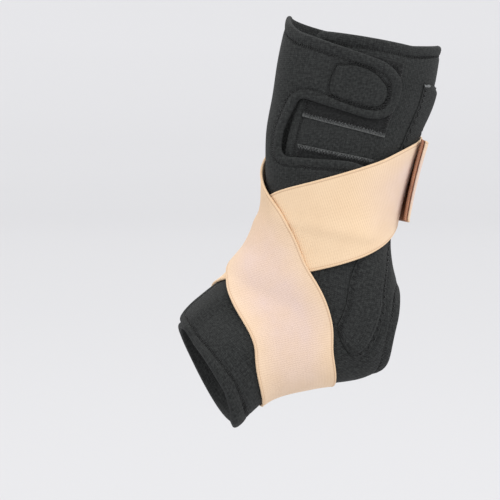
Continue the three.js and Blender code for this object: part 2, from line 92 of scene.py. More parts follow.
# Middle line of the strap: degrees round the leg, share along the form, share of its width
STRAP_PATH = np.array([
    [215, 0.365, 1],
    [190, 0.372, 1],
    [150, 0.395, 1],
    [110, 0.455, 1],
    [70, 0.514, 1],
    [30, 0.577, 1],
    [-15, 0.665, 1],
    [-60, 0.775, 0.98],
    [-105, 0.852, 0.95],
    [-150, 0.892, 0.92],
    [-195, 0.909, 0.91],
    [-240, 0.894, 0.93],
    [-273, 0.85, 0.96],
    [-303, 0.765, 0.97],
    [-335, 0.658, 0.97],
    [-370, 0.52, 0.97],
    [-407, 0.435, 1],
    [-450, 0.386, 1],
    [-495, 0.38, 1],
    [-535, 0.391, 1],
    [-558, 0.388, 1],
    [-572, 0.386, 1],
])

# Middle line of the stay pocket: degrees, share along the form, and 1 where the strap presses it
POCKET_PATH = np.array([
    [149, 0.112, 0.4],
    [149, 0.2, 0.4],
    [147, 0.3, 1],
    [142, 0.4, 1],
    [137, 0.47, 1],
    [129, 0.54, 1],
    [120, 0.6, 0],
    [112, 0.66, 0],
    [109, 0.72, 0],
    [111, 0.79, 0],
])

# Edges of the panels, in degrees round the leg and shares along the form
UPPER_TAB_END = 109
LOWER_TAB_END = 105
MEDIAL_EDGE = 33
LATERAL_EDGE = 30
LATERAL_FOOT_EDGE = 12
LAP_EDGE = -10
LAP_RISE_END = 37
TAB_RISE_START = -15
TAB_WIDTH = 41
TAB_GAP = 26
TAB_CORNER = 19
BEND_RADIUS = 20
CORNER_RADIUS = 10
POINT_RADIUS = 5
HEEL_HOLE = (56, 34)
HEEL_ALONG = 0.718


def linear(code):
    """A colour from its sRGB hex code, as the linear values that Blender's sockets take."""
    parts = [int(code[i:i + 2], 16) / 255 for i in (1, 3, 5)]
    return tuple(c / 12.92 if c <= 0.04045 else ((c + 0.055) / 1.055) ** 2.4 for c in parts)


def smooth(share):
    share = np.clip(share, 0, 1)
    return share * share * (3 - 2 * share)


def hump(distance, width):
    """1 on a line, falling softly to 0 at about twice the width away from it."""
    return np.exp(-((distance / width) ** 2))


def section(along):
    """The form's section at any share along it: a cubic through the table, straight past its ends."""
    knots = SECTIONS[:, 0]
    sizes = SECTIONS * SECTION_SIZES
    after = sizes[np.minimum(np.arange(len(knots)) + 1, len(knots) - 1)]
    before = sizes[np.maximum(np.arange(len(knots)) - 1, 0)]
    slopes = (after - before) / (after[:, :1] - before[:, :1])
    i = np.clip(np.searchsorted(knots, along, side="right") - 1, 0, len(knots) - 2)
    span = (knots[i + 1] - knots[i])[:, None]
    t = (along - knots[i])[:, None] / span
    u = np.clip(t, 0, 1)
    rise = 3 * u**2 - 2 * u**3
    value = sizes[i] * (1 - rise) + sizes[i + 1] * rise
    value += slopes[i] * span * (u**3 - 2 * u**2 + u) + slopes[i + 1] * span * (u**3 - u**2)
    value += np.where(t < 0, slopes[i] * span * t, 0)
    value += np.where(t > 1, slopes[i + 1] * span * (t - 1), 0)
    return value.T


def skin(angle, along):
    """Points of the inner form, in millimetres."""
    angle, along = np.broadcast_arrays(np.asarray(angle, float), np.asarray(along, float))
    _, front_x, front_z, back_x, back_z, half, front, back = section(along.ravel())
    turn = np.radians(angle.ravel())
    c, s = np.cos(turn), np.sin(turn)
    exponent = (front + back) / 2 + (front - back) / 2 * c
    k = (np.abs(c) ** exponent + np.abs(s) ** exponent) ** (-1 / exponent)
    x = (front_x + back_x) / 2 + (front_x - back_x) / 2 * k * c
    z = (front_z + back_z) / 2 + (front_z - back_z) / 2 * k * c
    return np.stack([x, -half * k * s, z], -1).reshape(angle.shape + (3,))


def unit(vectors):
    return vectors / np.linalg.norm(vectors, axis=-1, keepdims=True)


def run_along(points):
    """How far along a line of points each one lies."""
    return np.concatenate([[0], np.cumsum(np.linalg.norm(np.diff(points, axis=0), axis=1))])


def left_of(ahead):
    """The direction to the left of each direction on the flat pattern."""
    return np.stack([-ahead[:, 1], ahead[:, 0]], 1)


def tree_of(points):
    """A search tree of points in the flat or in space."""
    tree = KDTree(len(points))
    for i, point in enumerate(points):
        tree.insert((*point, 0) if len(point) == 2 else point, i)
    tree.balance()
    return tree


def in_mm(length):
    return length * 1000


ANGLE_STEP = 0.5
ALONG_STEP = 0.004


def outward(angle, along):
    around = skin(angle + ANGLE_STEP, along) - skin(angle - ANGLE_STEP, along)
    down = skin(angle, along + ALONG_STEP) - skin(angle, along - ALONG_STEP)
    return unit(np.cross(down, around))


def above(angle, along, height):
    """Points at a height over the inner form."""
    angle, along, height = np.broadcast_arrays(
        np.asarray(angle, float), np.asarray(along, float), np.asarray(height, float)
    )
    return skin(angle, along) + outward(angle, along) * height[..., None]


# The flat pattern: millimetres round the leg, and millimetres down its inner side
ROUND = math.radians(1) * HALF_WIDTH
inner_side = skin(90, np.arange(51) / 50)
DOWN = float(np.linalg.norm(np.diff(inner_side, axis=0), axis=1).sum())

WALL = 3.0
TAB_HEIGHT = WALL + GAP + PATCH_THICKNESS + GAP
LAP_HEIGHT = WALL + GAP
UPPER_TAB_TOP = 0.088
UPPER_TAB_BOTTOM = UPPER_TAB_TOP + TAB_WIDTH / DOWN
LOWER_TAB_TOP = 0.352
LOWER_TAB_BOTTOM = LOWER_TAB_TOP + TAB_WIDTH / DOWN
TAB_TILT = 0.0009
SEAM = 180 - SEAM_GAP / 2 / (0.8 * ROUND)


def lateral_lift(angle, along):
    """Underside of the outer panel over the form: it rises over the inner panel and its patches."""
    full = MEDIAL_EDGE - 3
    share = smooth((along - 0.4) / 0.12)
    start = TAB_RISE_START + (LATERAL_FOOT_EDGE - TAB_RISE_START) * share
    return TAB_HEIGHT * smooth((angle - start) / (full - start))


def medial_lift(angle, along):
    """Underside of the inner panel over the form: it laps over the outer one at the instep."""
    full = LATERAL_FOOT_EDGE + 10
    return LAP_HEIGHT * smooth((LAP_RISE_END - angle) / (LAP_RISE_END - full))


def level(angle, along):
    return 0.0 * angle


def pattern(angle, along):
    return np.stack([np.asarray(angle) * ROUND, -np.asarray(along) * DOWN], -1)


def resampled(points, spacing, closed=False):
    """A line's points again, evenly spaced."""
    points = np.asarray(points, float)
    if closed:
        points = np.vstack([points, points[:1]])
    run = run_along(points)
    count = max(2, round(run[-1] / spacing))
    places = np.linspace(0, run[-1], count + 1)
    if closed:
        places = places[:-1]
    return np.stack([np.interp(places, run, points[:, k]) for k in range(points.shape[1])], -1)


def rounded(corners):
    """A closed outline on the flat pattern from corners of degrees, share and radius."""
    flat = [pattern(angle, along) for angle, along, _ in corners]
    points = []
    for i, (_, _, radius) in enumerate(corners):
        here = flat[i]
        before = flat[i - 1] - here
        after = flat[(i + 1) % len(flat)] - here
        sizes = np.linalg.norm(before), np.linalg.norm(after)
        half = math.acos(np.clip(before @ after / sizes[0] / sizes[1], -1, 1)) / 2
        cut = min(radius / math.tan(half), 0.48 * min(sizes))
        start = here + before / sizes[0] * cut
        end = here + after / sizes[1] * cut
        for t in np.linspace(0, 1, 9 if cut else 1):
            points.append(start * (1 - t) ** 2 + here * 2 * t * (1 - t) + end * t**2)
    return np.array(points)


def area_of(loop):
    x, y = loop.T
    return 0.5 * float(x @ np.roll(y, -1) - y @ np.roll(x, -1))


def moved_in(loop, distance):
    """A closed line moved towards its inside, or outwards where the distance is below 0."""
    ahead = unit(np.roll(loop, -1, 0) - np.roll(loop, 1, 0))
    return loop + left_of(ahead) * distance * np.sign(area_of(loop))


def inside(points, loop):
    """Which points lie inside a closed line."""
    x, y = points[:, :1], points[:, 1:]
    ax, ay = loop.T
    bx, by = np.roll(loop, -1, 0).T
    crosses = (ay > y) != (by > y)
    rise = np.where(by == ay, 1, by - ay)
    return ((crosses & (x < (bx - ax) * (y - ay) / rise + ax)).sum(1) % 2) == 1


def distance_to(points, line, closed=False):
    """Distance of each point to a line of points."""
    tree = tree_of(resampled(line, DENSE_SPACING, closed))
    flat = points.shape[1] == 2
    return np.array([tree.find((*point, 0) if flat else point)[2] for point in points])


# Spacings of a flat sheet's points in millimetres, and how far its rings lie from rims and sewn lines
POINT_SPACING = 1.8
EDGE_SPACING = 1.3
DENSE_SPACING = 0.2
CLOSEST = 0.42
EDGE_RINGS = (0.3, 0.8, 1.5, 2.4)
LINE_RINGS = (-1.3, -0.6, 0, 0.6, 1.3)


def thinned(points):
    """Points of which no two lie closer than the closest spacing."""
    tree = tree_of(points)
    dropped = set()
    chosen = []
    for i, point in enumerate(points):
        if i in dropped:
            continue
        chosen.append(i)
        dropped.update(j for _, j, _ in tree.find_range((*point, 0), CLOSEST) if j != i)
    return points[chosen]


def cut_sheet(outline, lines):
    """A flat sheet cut to its outline, with rings of points beside its rim and sewn lines.

    No bmesh operator fills an outline with evenly spaced points, so Blender's own constrained
    triangulation does it. Returns the flat points and the triangles.
    """
    loop = resampled(outline, EDGE_SPACING, True)
    numbers = np.arange(len(loop))
    edges = list(zip(numbers.tolist(), np.roll(numbers, -1).tolist()))
    guides = [moved_in(loop, distance) for distance in EDGE_RINGS]
    for line in lines:
        even = resampled(line, EDGE_SPACING)
        side = left_of(unit(np.gradient(even, axis=0)))
        guides += [even + side * distance for distance in LINE_RINGS]
    guide = np.vstack(guides)
    rim = distance_to(guide, loop, True)
    guide = thinned(guide[inside(guide, loop) & (rim > EDGE_RINGS[0] * 0.9)])
    low, high = loop.min(0), loop.max(0)
    rows = np.arange(low[1], high[1], POINT_SPACING * math.sqrt(3) / 2)
    columns = np.arange(low[0], high[0], POINT_SPACING)
    grid = np.array([(x + (k % 2) * POINT_SPACING / 2, y) for k, y in enumerate(rows) for x in columns])
    grid = grid[inside(grid, loop)]
    tree = tree_of(guide)
    clear = np.array([tree.find((*point, 0))[2] for point in grid]) > POINT_SPACING * 0.55
    grid = grid[clear & (distance_to(grid, loop, True) > EDGE_RINGS[-1])]
    points = [Vector(point) for point in np.vstack([loop, guide, grid])]
    result = delaunay_2d_cdt(points, edges, [], 0, 1e-6, False)
    made = np.array([tuple(v) for v in result[0]])
    faces = np.array([list(f) for f in result[2] if len(f) == 3])
    return made, faces[inside(made[faces].mean(1), loop)]


def closed_sheet(name, sheet, top, under, flat, rim, material):
    """Closes a flat bmesh sheet: its points go to top, a copy's to under, and their rims are welded.

    flat holds each point's place on the cloth in millimetres, which becomes the piece's UV map, and
    rim its distance from the nearest cut edge in millimetres, which becomes an attribute.
    """
    sheet.verts.ensure_lookup_table()
    from_rim = sheet.verts.layers.float.new("from_rim")
    before = list(sheet.verts)
    for i, vert in enumerate(before):
        vert[from_rim] = rim[i]
    copied = bmesh.ops.duplicate(sheet, geom=sheet.verts[:] + sheet.edges[:] + sheet.faces[:])
    twins = copied["vert_map"]
    bmesh.ops.reverse_faces(sheet, faces=[g for g in copied["geom"] if isinstance(g, bmesh.types.BMFace)])
    uv = sheet.loops.layers.uv.new("cloth")
    places = {}
    for i, vert in enumerate(before):
        twin = twins[vert]
        vert.co = top[i] * MM
        twin.co = under[i] * MM
        places[vert] = places[twin] = flat[i]
    for face in sheet.faces:
        for loop in face.loops:
            loop[uv].uv = places[loop.vert] * UV_PER_MM
    edge = [vert for vert in sheet.verts if vert.is_boundary]
    bmesh.ops.remove_doubles(sheet, verts=edge, dist=1e-6)
    loose = [vert for vert in sheet.verts if not vert.link_faces]
    bmesh.ops.delete(sheet, geom=loose, context="VERTS")
    bmesh.ops.recalc_face_normals(sheet, faces=sheet.faces[:])
    return finished(name, sheet, material)


def finished(name, shape, material):
    """A smooth-shaded object from a bmesh."""
    mesh = bpy.data.meshes.new(name)
    shape.to_mesh(mesh)
    shape.free()
    mesh.materials.append(material)
    mesh.polygons.foreach_set("use_smooth", [True] * len(mesh.polygons))
    piece = bpy.data.objects.new(name, mesh)
    bpy.context.scene.collection.objects.link(piece)
    return piece


def rim_rise(distance, wall):
    """Half thickness of a sheet near its rounded rim."""
    radius = wall / 2
    return np.sqrt(np.maximum(radius**2 - (radius - np.clip(distance, 0, radius)) ** 2, 0))


def add_node(tree, kind, links=None, values=None, **settings):
    """Adds a node with its settings, its fixed values and the outputs linked to its inputs."""
    node = tree.nodes.new(kind)
    for name, value in settings.items():
        setattr(node, name, value)
    for name, value in (values or {}).items():
        node.inputs[name].default_value = value
    for name, source in (links or {}).items():
        tree.links.new(source, node.inputs[name])
    return node


def new_material(name):
    material = bpy.data.materials.new(name)
    material.use_nodes = True
    tree = material.node_tree
    return material, tree, tree.nodes["Principled BSDF"]


def bands(pitch):
    """Scale of Blender's wave texture for bands a pitch in millimetres apart on the cloth."""
    return 2 * math.pi / 20 / (pitch * UV_PER_MM)


def spots(size):
    """Scale of a noise texture for spots of a size in millimetres on the cloth."""
    return 1 / (size * UV_PER_MM)


def opaque(colour):
    return (*colour, 1)


def laid_over(tree, under, colour, value, span):
    """Lays a colour over another, as far as a value lies along a span of MapRange's four limits."""
    share = add_node(tree, "ShaderNodeMapRange", {0: value}, span)
    links = {0: share.outputs[0], 6: under}
    return add_node(tree, "ShaderNodeMix", links, {7: colour}, data_type="RGBA").outputs[2]


def roughen(tree, shader, source, low, high):
    """Lets a noise move the roughness between two values."""
    values = {1: 0.2, 2: 0.8, 3: low, 4: high}
    rough = add_node(tree, "ShaderNodeMapRange", {0: source}, values)
    tree.links.new(rough.outputs[0], shader.inputs["Roughness"])


def dress(tree, shader, colour, height, depth, strength=1.0):
    """Gives a shader its colour, and a relief whose depth is in millimetres."""
    tree.links.new(colour, shader.inputs["Base Color"])
    values = {"Strength": strength, "Distance": depth * MM}
    bump = add_node(tree, "ShaderNodeBump", {"Height": height}, values)
    tree.links.new(bump.outputs[0], shader.inputs["Normal"])


def set_surface(shader, gloss, sheen, sheen_roughness=0.5):
    shader.inputs["Specular IOR Level"].default_value = gloss
    shader.inputs["Sheen Weight"].default_value = sheen
    shader.inputs["Sheen Roughness"].default_value = sheen_roughness


def knitted_foam(settings):
    """Jersey knit laminated on neoprene foam: matt near-black with fine wales, grain and lint."""
    material, tree, shader = new_material("jersey_laminated_neoprene")
    uv = add_node(tree, "ShaderNodeUVMap", uv_map="cloth").outputs[0]
    # Knit wales are about 0.5 mm apart and courses 0.4 mm, drawn at 1.3 and 1.1 mm so that they show
    wale = add_node(tree, "ShaderNodeTexWave", {"Vector": uv}, {"Scale": bands(1.3), "Distortion": 1.2})
    values = {"Scale": bands(1.1), "Distortion": 1.2}
    course = add_node(tree, "ShaderNodeTexWave", {"Vector": uv}, values, bands_direction="Y")
    links = {0: wale.outputs["Fac"], 1: course.outputs["Fac"]}
    loops = add_node(tree, "ShaderNodeMath", links, operation="MULTIPLY").outputs[0]
    grain = add_node(tree, "ShaderNodeTexNoise", {"Vector": uv}, {"Scale": spots(1.6), "Detail": 3.0})
    blotch = add_node(tree, "ShaderNodeTexNoise", {"Vector": uv}, {"Scale": spots(26.0), "Detail": 2.0})
    fluff = add_node(tree, "ShaderNodeTexNoise", {"Vector": uv}, {"Scale": spots(1.0), "Detail": 1.0})
    dark, light = opaque(settings.foam_dark), opaque(settings.foam_light)
    face, lint, core = opaque(settings.foam_face), opaque(settings.lint), opaque(settings.foam_rim_grey)

    # The knit's tone wanders from place to place, with lighter loops, specks of lint and paler rims
    tone = add_node(tree, "ShaderNodeMapRange", {0: blotch.outputs["Fac"]}, {1: 0.32, 2: 0.68})
    body = add_node(tree, "ShaderNodeMix", {0: tone.outputs[0]}, {6: dark, 7: light}, data_type="RGBA")
    links = {0: grain.outputs["Fac"], 2: loops}
    ribbed = add_node(tree, "ShaderNodeMath", links, {1: 6.0}, operation="MULTIPLY_ADD")
    knit = laid_over(tree, body.outputs[2], face, ribbed.outputs[0], {1: 2.4, 2: 4.8, 4: 0.9})
    linty = laid_over(tree, knit, lint, fluff.outputs["Fac"], {1: 0.67, 2: 0.73, 4: 0.35})
    from_rim = add_node(tree, "ShaderNodeAttribute", attribute_name="from_rim").outputs["Fac"]
    # Within about a millimetre of the rims the colour turns to a paler grey
    colour = laid_over(tree, linty, core, from_rim, {1: 0.1, 2: 0.9, 3: 0.45, 4: 0.0})
    roughen(tree, shader, grain.outputs["Fac"], 0.78, 0.95)
    set_surface(shader, 0.16, 0.02)
    links = {0: grain.outputs["Fac"], 2: loops}
    height = add_node(tree, "ShaderNodeMath", links, {1: 3.0}, operation="MULTIPLY_ADD")
    dress(tree, shader, colour, height.outputs[0], 0.2, 0.8)
    return material


def brushed_loops(settings):
    """Brushed nylon loop fabric: deep black pile, with a paler frayed edge where it was cut."""
    material, tree, shader = new_material("brushed_nylon_loop")
    uv = add_node(tree, "ShaderNodeUVMap", uv_map="cloth").outputs[0]
    # Tufts of loops are about 1 mm across
    pile = add_node(tree, "ShaderNodeTexNoise", {"Vector": uv}, {"Scale": spots(1.1), "Detail": 4.0})
    tufts = add_node(tree, "ShaderNodeTexNoise", {"Vector": uv}, {"Scale": spots(2.6), "Detail": 2.0})
    share = add_node(tree, "ShaderNodeMapRange", {0: pile.outputs["Fac"]}, {1: 0.35, 2: 0.75})
    dark, light = opaque(settings.loop_dark), opaque(settings.loop_light)
    body = add_node(tree, "ShaderNodeMix", {0: share.outputs[0]}, {6: dark, 7: light}, data_type="RGBA")
    from_rim = add_node(tree, "ShaderNodeAttribute", attribute_name="from_rim").outputs["Fac"]
    links = {0: pile.outputs["Fac"], 2: from_rim}
    ragged = add_node(tree, "ShaderNodeMath", links, {1: -2.4}, operation="MULTIPLY_ADD")
    span = {1: -0.8, 2: 0.9, 3: 1.0, 4: 0.0}
    colour = laid_over(tree, body.outputs[2], opaque(settings.loop_fray), ragged.outputs[0], span)
    roughen(tree, shader, tufts.outputs["Fac"], 0.8, 0.96)
    set_surface(shader, 0.3, 0.12, 0.4)
    links = {0: pile.outputs["Fac"], 1: tufts.outputs["Fac"]}
    height = add_node(tree, "ShaderNodeMath", links, operation="ADD")
    dress(tree, shader, colour, height.outputs[0], 0.4)
    return material


def woven_elastic(settings):
    """Woven elastic, polyester over rubber: matt beige, finely ribbed both ways, corded selvages."""
    material, tree, shader = new_material("woven_beige_elastic")
    uv = add_node(tree, "ShaderNodeUVMap", uv_map="cloth").outputs[0]
    place = add_node(tree, "ShaderNodeSeparateXYZ", {0: uv})
    # Warp cords and weft ribs are about 0.8 mm apart, drawn at 1.9 and 1.2 mm so that they show
    warp = add_node(tree, "ShaderNodeTexWave", {"Vector": uv}, {"Scale": bands(1.9), "Distortion": 0.6})
    values = {"Scale": bands(1.2), "Distortion": 0.8}
    weft = add_node(tree, "ShaderNodeTexWave", {"Vector": uv}, values, bands_direction="Y")
    mottle = add_node(tree, "ShaderNodeTexNoise", {"Vector": uv}, {"Scale": spots(16.0), "Detail": 3.0})
    fibre = add_node(tree, "ShaderNodeTexNoise", {"Vector": uv}, {"Scale": spots(0.8), "Detail": 2.0})
    warm, pink = opaque(settings.elastic_warm), opaque(settings.elastic_pink_and_shade)
    deep, groove = opaque(settings.elastic_mottle_and_fold_shade), opaque(settings.elastic_groove_shade)

    # The strap's tone runs along it. Its stretched middle is pinker and a little darker, partly the
    # stretch's own tint and partly painted shade where the band faces down, away from the light, and the
    # deep tone at one place is painted shade in a fold
    far = -in_mm(settings.strap_tones) * UV_PER_MM
    run = add_node(tree, "ShaderNodeMapRange", {0: place.outputs[1]}, {1: 0.0, 2: far})
    tone = add_node(tree, "ShaderNodeValToRGB", {0: run.outputs[0]})
    ramp = tone.color_ramp
    ramp.elements[0].color = pink
    ramp.elements[1].color = pink
    # The pink stops are partly the stretch's tint and partly painted shade, and the deep stop is painted
    # shade in a fold
    tones = [(0.08, pink), (0.15, warm), (0.5, warm), (0.61, pink)]
    tones += [(0.69, pink), (0.76, deep), (0.85, warm)]
    for share, colour in tones:
        ramp.elements.new(share).color = colour
    across = add_node(tree, "ShaderNodeMath", {0: place.outputs[0]}, operation="ABSOLUTE")
    values = {1: 9 * UV_PER_MM, 2: 24 * UV_PER_MM, 4: 0.75}
    sided = laid_over(tree, tone.outputs[0], warm, across.outputs[0], values)
    shade = laid_over(tree, sided, deep, mottle.outputs["Fac"], {1: 0.3, 2: 0.7, 4: 0.35})
    # Painted shade darkens the weave between its ribs
    links = {0: warp.outputs["Fac"], 2: weft.outputs["Fac"]}
    crossing = add_node(tree, "ShaderNodeMath", links, {1: 0.35}, operation="MULTIPLY_ADD")
    woven = laid_over(tree, shade, groove, crossing.outputs[0], {1: 0.0, 2: 0.8, 3: 0.1, 4: 0.0})

    # Painted shade darkens the thin groove inside each corded selvage, and the cord is warmer
    line_at = (in_mm(settings.strap_width) / 2 - in_mm(settings.selvage)) * UV_PER_MM
    away = add_node(tree, "ShaderNodeMath", {0: across.outputs[0]}, {1: line_at}, operation="SUBTRACT")
    near = add_node(tree, "ShaderNodeMath", {0: away.outputs[0]}, operation="ABSOLUTE")
    values = {1: 0.1 * UV_PER_MM, 2: 0.45 * UV_PER_MM, 3: 0.38, 4: 0.0}
    lined = laid_over(tree, woven, groove, near.outputs[0], values)
    values = {1: 0.2 * UV_PER_MM, 2: 0.6 * UV_PER_MM, 3: 0.0, 4: 0.5}
    edged = laid_over(tree, lined, opaque(settings.elastic_selvage), away.outputs[0], values)
    roughen(tree, shader, fibre.outputs["Fac"], 0.68, 0.86)
    set_surface(shader, 0.2, 0.08)
    links = {0: fibre.outputs["Fac"], 2: crossing.outputs[0]}
    height = add_node(tree, "ShaderNodeMath", links, {1: 0.4}, operation="MULTIPLY_ADD")
    dress(tree, shader, edged, height.outputs[0], 0.08)
    return material


def hooks_with_painted_shade(settings):
    """Nylon hook tape, brown partly as its own colour and partly as painted shade under the strap's end,
    with close rows of small moulded hooks whose tips carry a painted highlight.
    """
    material, tree, shader = new_material("nylon_hooks_with_painted_shade")
    uv = add_node(tree, "ShaderNodeUVMap", uv_map="cloth").outputs[0]
    # Hooks stand about 1 mm apart in rows, drawn 1.3 mm apart so that they show
    row = add_node(tree, "ShaderNodeTexWave", {"Vector": uv}, {"Scale": bands(1.3)})
    file = add_node(tree, "ShaderNodeTexWave", {"Vector": uv}, {"Scale": bands(1.3)}, bands_direction="Y")
    links = {0: row.outputs["Fac"], 1: file.outputs["Fac"]}
    hooks = add_node(tree, "ShaderNodeMath", links, operation="MULTIPLY")
    stain = add_node(tree, "ShaderNodeTexNoise", {"Vector": uv}, {"Scale": spots(6.0), "Detail": 2.0})
    share = add_node(tree, "ShaderNodeMapRange", {0: stain.outputs["Fac"]}, {1: 0.3, 2: 0.7})
    # Both browns are partly the tape's own colour and partly painted shade under the strap's end
    dark, light = opaque(settings.hook_dark), opaque(settings.hook_light)
    body = add_node(tree, "ShaderNodeMix", {0: share.outputs[0]}, {6: dark, 7: light}, data_type="RGBA")
    # The hooks' tips get a painted highlight
    span = {1: 0.5, 2: 0.95, 4: 0.6}
    colour = laid_over(tree, body.outputs[2], opaque(settings.hook_tip_highlight), hooks.outputs[0], span)
    rough = add_node(tree, "ShaderNodeMapRange", {0: hooks.outputs[0]}, {3: 0.7, 4: 0.5})
    tree.links.new(rough.outputs[0], shader.inputs["Roughness"])
    dress(tree, shader, colour, hooks.outputs[0], 0.4)
    return material


def sewing_thread(name, colour, light):
    """Twisted polyester thread: a little glossier than the cloth, with painted highlights on the strands of
    its twist.
    """
    material, tree, shader = new_material(name)
    place = add_node(tree, "ShaderNodeTexCoord").outputs["Object"]
    # The twist turns about every 0.6 mm
    twist = add_node(tree, "ShaderNodeTexNoise", {"Vector": place}, {"Scale": 1 / (0.6 * MM), "Detail": 1.0})
    share = add_node(tree, "ShaderNodeMapRange", {0: twist.outputs["Fac"]}, {1: 0.4, 2: 0.75})
    # The lighter colour is a painted highlight on the strands of the twist
    values = {6: opaque(colour), 7: opaque(light)}
    strands = add_node(tree, "ShaderNodeMix", {0: share.outputs[0]}, values, data_type="RGBA")
    shader.inputs["Roughness"].default_value = 0.55
    set_surface(shader, 0.3, 0.1)
    dress(tree, shader, strands.outputs[2], twist.outputs["Fac"], 0.05)
    return material


def painted_board(settings):
    """Matt painted board: pale grey, a little lighter up the wall, with a barely visible mottle."""
    material, tree, shader = new_material("pale_matt_board")
    place = add_node(tree, "ShaderNodeTexCoord").outputs["Object"]
    # Roller marks in the paint are about 300 mm wide
    mottle = add_node(tree, "ShaderNodeTexNoise", {"Vector": place}, {"Scale": 1 / 0.3, "Detail": 2.0})
    height = add_node(tree, "ShaderNodeSeparateXYZ", {0: place}).outputs[2]
    low = -settings.floor_drop
    links = {0: mottle.outputs["Fac"], 2: height}
    level_at = add_node(tree, "ShaderNodeMath", links, {1: 0.02}, operation="MULTIPLY_ADD")
    share = add_node(tree, "ShaderNodeMapRange", {0: level_at.outputs[0]}, {1: low, 2: low + 0.9})
    values = {6: opaque(settings.board), 7: opaque(settings.wall)}
    paint = add_node(tree, "ShaderNodeMix", {0: share.outputs[0]}, values, data_type="RGBA")
    tree.links.new(paint.outputs[2], shader.inputs["Base Color"])
    # The studio's background lamps fill the board, so that it looks even
    shader.inputs["Emission Color"].default_value = opaque(settings.lit_board)
    shader.inputs["Emission Strength"].default_value = 0.5
    shader.inputs["Roughness"].default_value = 0.95
    shader.inputs["Specular IOR Level"].default_value = 0.05
    return material


def colour_property(name, description, code):
    return FloatVectorProperty(
        name=name, description=description, subtype="COLOR", size=3, min=0, max=1, default=linear(code)
    )


def length_property(name, description, default, high=0.1):
    return FloatProperty(
        name=name, description=description, subtype="DISTANCE", unit="LENGTH",
        min=0, max=high, precision=4, default=default,
    )


class SleeveSettings(bpy.types.PropertyGroup):
    wall: length_property("Foam thickness", "Thickness of the laminated foam", WALL * MM)
    hem: length_property("Hem width", "Distance of the edge stitching from the rims", 0.0062)
    groove: length_property("Stitch groove", "How deep the stitching pulls into the foam", 0.0008)
    puff: length_property("Rim puff", "How far the foam swells between rim and stitching", 0.0005)
    valley: length_property("Pocket valley", "Depth of the fold behind the stay pocket", 0.0018)
    foam_dark: colour_property("Foam shade", "Darker tone of the sleeve's knit", "#202121")
    foam_light: colour_property("Foam light", "Lighter tone of the sleeve's knit", "#282929")
    foam_face: colour_property("Knit face", "Tone on top of the knit's loops", "#3e403f")
    # A paler grey laid within about a millimetre of the panels' rims
    foam_rim_grey: colour_property("Foam core", "Grey of the foam where its rim is cut", "#3a3b3b")
    lint: colour_property("Lint", "Tone of the fine lint on the knit", "#5c5e5d")
    loop_dark: colour_property("Loop shade", "Tone between the patches' loops", "#131414")
    loop_light: colour_property("Loop light", "Tone on top of the patches' loops", "#2c2d2d")
    loop_fray: colour_property("Frayed edge", "Tone of the patches' cut edges", "#666867")


class StrapSettings(bpy.types.PropertyGroup):
    strap_width: length_property("Strap width", "Width of the elastic", 0.05)
    strap_thickness: length_property("Strap thickness", "Thickness of the elastic", 0.0015)
    selvage: length_property("Selvage", "Width of the corded edge", 0.0014)
    strap_tones: length_property("Strap run", "Length over which the strap's tones run", 0.575, 2.0)
    elastic_warm: colour_property("Elastic warm", "Warm beige of the strap", "#f5d8b5")
    # The pink is partly the stretched strap's tint and partly painted shade where the band faces down
    elastic_pink_and_shade: colour_property("Elastic pink", "Pinker beige on the stretched part", "#e7cec2")
    # The deep tone gives the darker spots of the mottle, and painted shade in a fold at one place along the
    # strap
    elastic_mottle_and_fold_shade: colour_property("Elastic deep", "Deeper tone of the strap's mottle", "#e6c6a2")
    # Painted shade between the strap's ribs and in the groove inside each selvage
    elastic_groove_shade: colour_property("Elastic groove", "Tone between the strap's ribs", "#a87b58")
    elastic_selvage: colour_property("Elastic selvage", "Tone of the corded edges", "#ecc9a2")
    # The hook browns are partly the tape's own colour and partly painted shade under the strap's end
    hook_dark: colour_property("Hook shade", "Darker tone of the hook tape", "#965f43")
    hook_light: colour_property("Hook light", "Lighter tone of the hook tape", "#b67c5b")
    # Painted highlight on the hooks' tips
    hook_tip_highlight: colour_property("Hook tips", "Tone of the hooks' tips", "#b88d72")


class StitchSettings(bpy.types.PropertyGroup):
    thread: length_property("Thread", "Diameter of the sewing thread", 0.0006)
    pitch: length_property("Stitch pitch", "Length of one zigzag", 0.0026)
    reach: length_property("Stitch reach", "Half width of the zigzag", 0.0016)
    seam_reach: length_property("Seam reach", "Half width of the seam behind the heel", 0.0028)
    patch_pitch: length_property("Patch pitch", "Length of one zigzag round the patches", 0.0017)
    thread_dark: colour_property("Thread", "Black thread of the sleeve", "#0a0b0b")
    thread_dark_light: colour_property("Thread light", "Lit strands of the black thread", "#1e1f1f")
    thread_grey: colour_property("Patch thread", "Dark grey thread round the patches", "#303131")
    thread_grey_light: colour_property("Patch thread light", "Lit strands of the grey thread", "#6e7070")
    tack: colour_property("Bar tack", "Pale grey thread of the bar tack", "#7c7e7e")


class StageSettings(bpy.types.PropertyGroup):
    floor_drop: length_property("Floor drop", "Distance of the floor below the origin", 0.3, 2.0)
    board: colour_property("Floor", "Colour of the floor", "#9b9b9d")
    wall: colour_property("Backdrop", "Colour of the backdrop's upper part", "#a9a9ab")
    lit_board: colour_property("Lit backdrop", "Glow of the evenly lit backdrop", "#e8e8ea")
    key_power: FloatProperty(name="Key light", description="Power of the key light", default=5, unit="POWER")
    fill_power: FloatProperty(
        name="Fill light", description="Power of the fill light", default=5, unit="POWER"
    )
    top_power: FloatProperty(name="Top light", description="Power of the top light", default=3, unit="POWER")
    ambient: FloatProperty(name="Ambient", description="Strength of the even studio light", default=1.17)


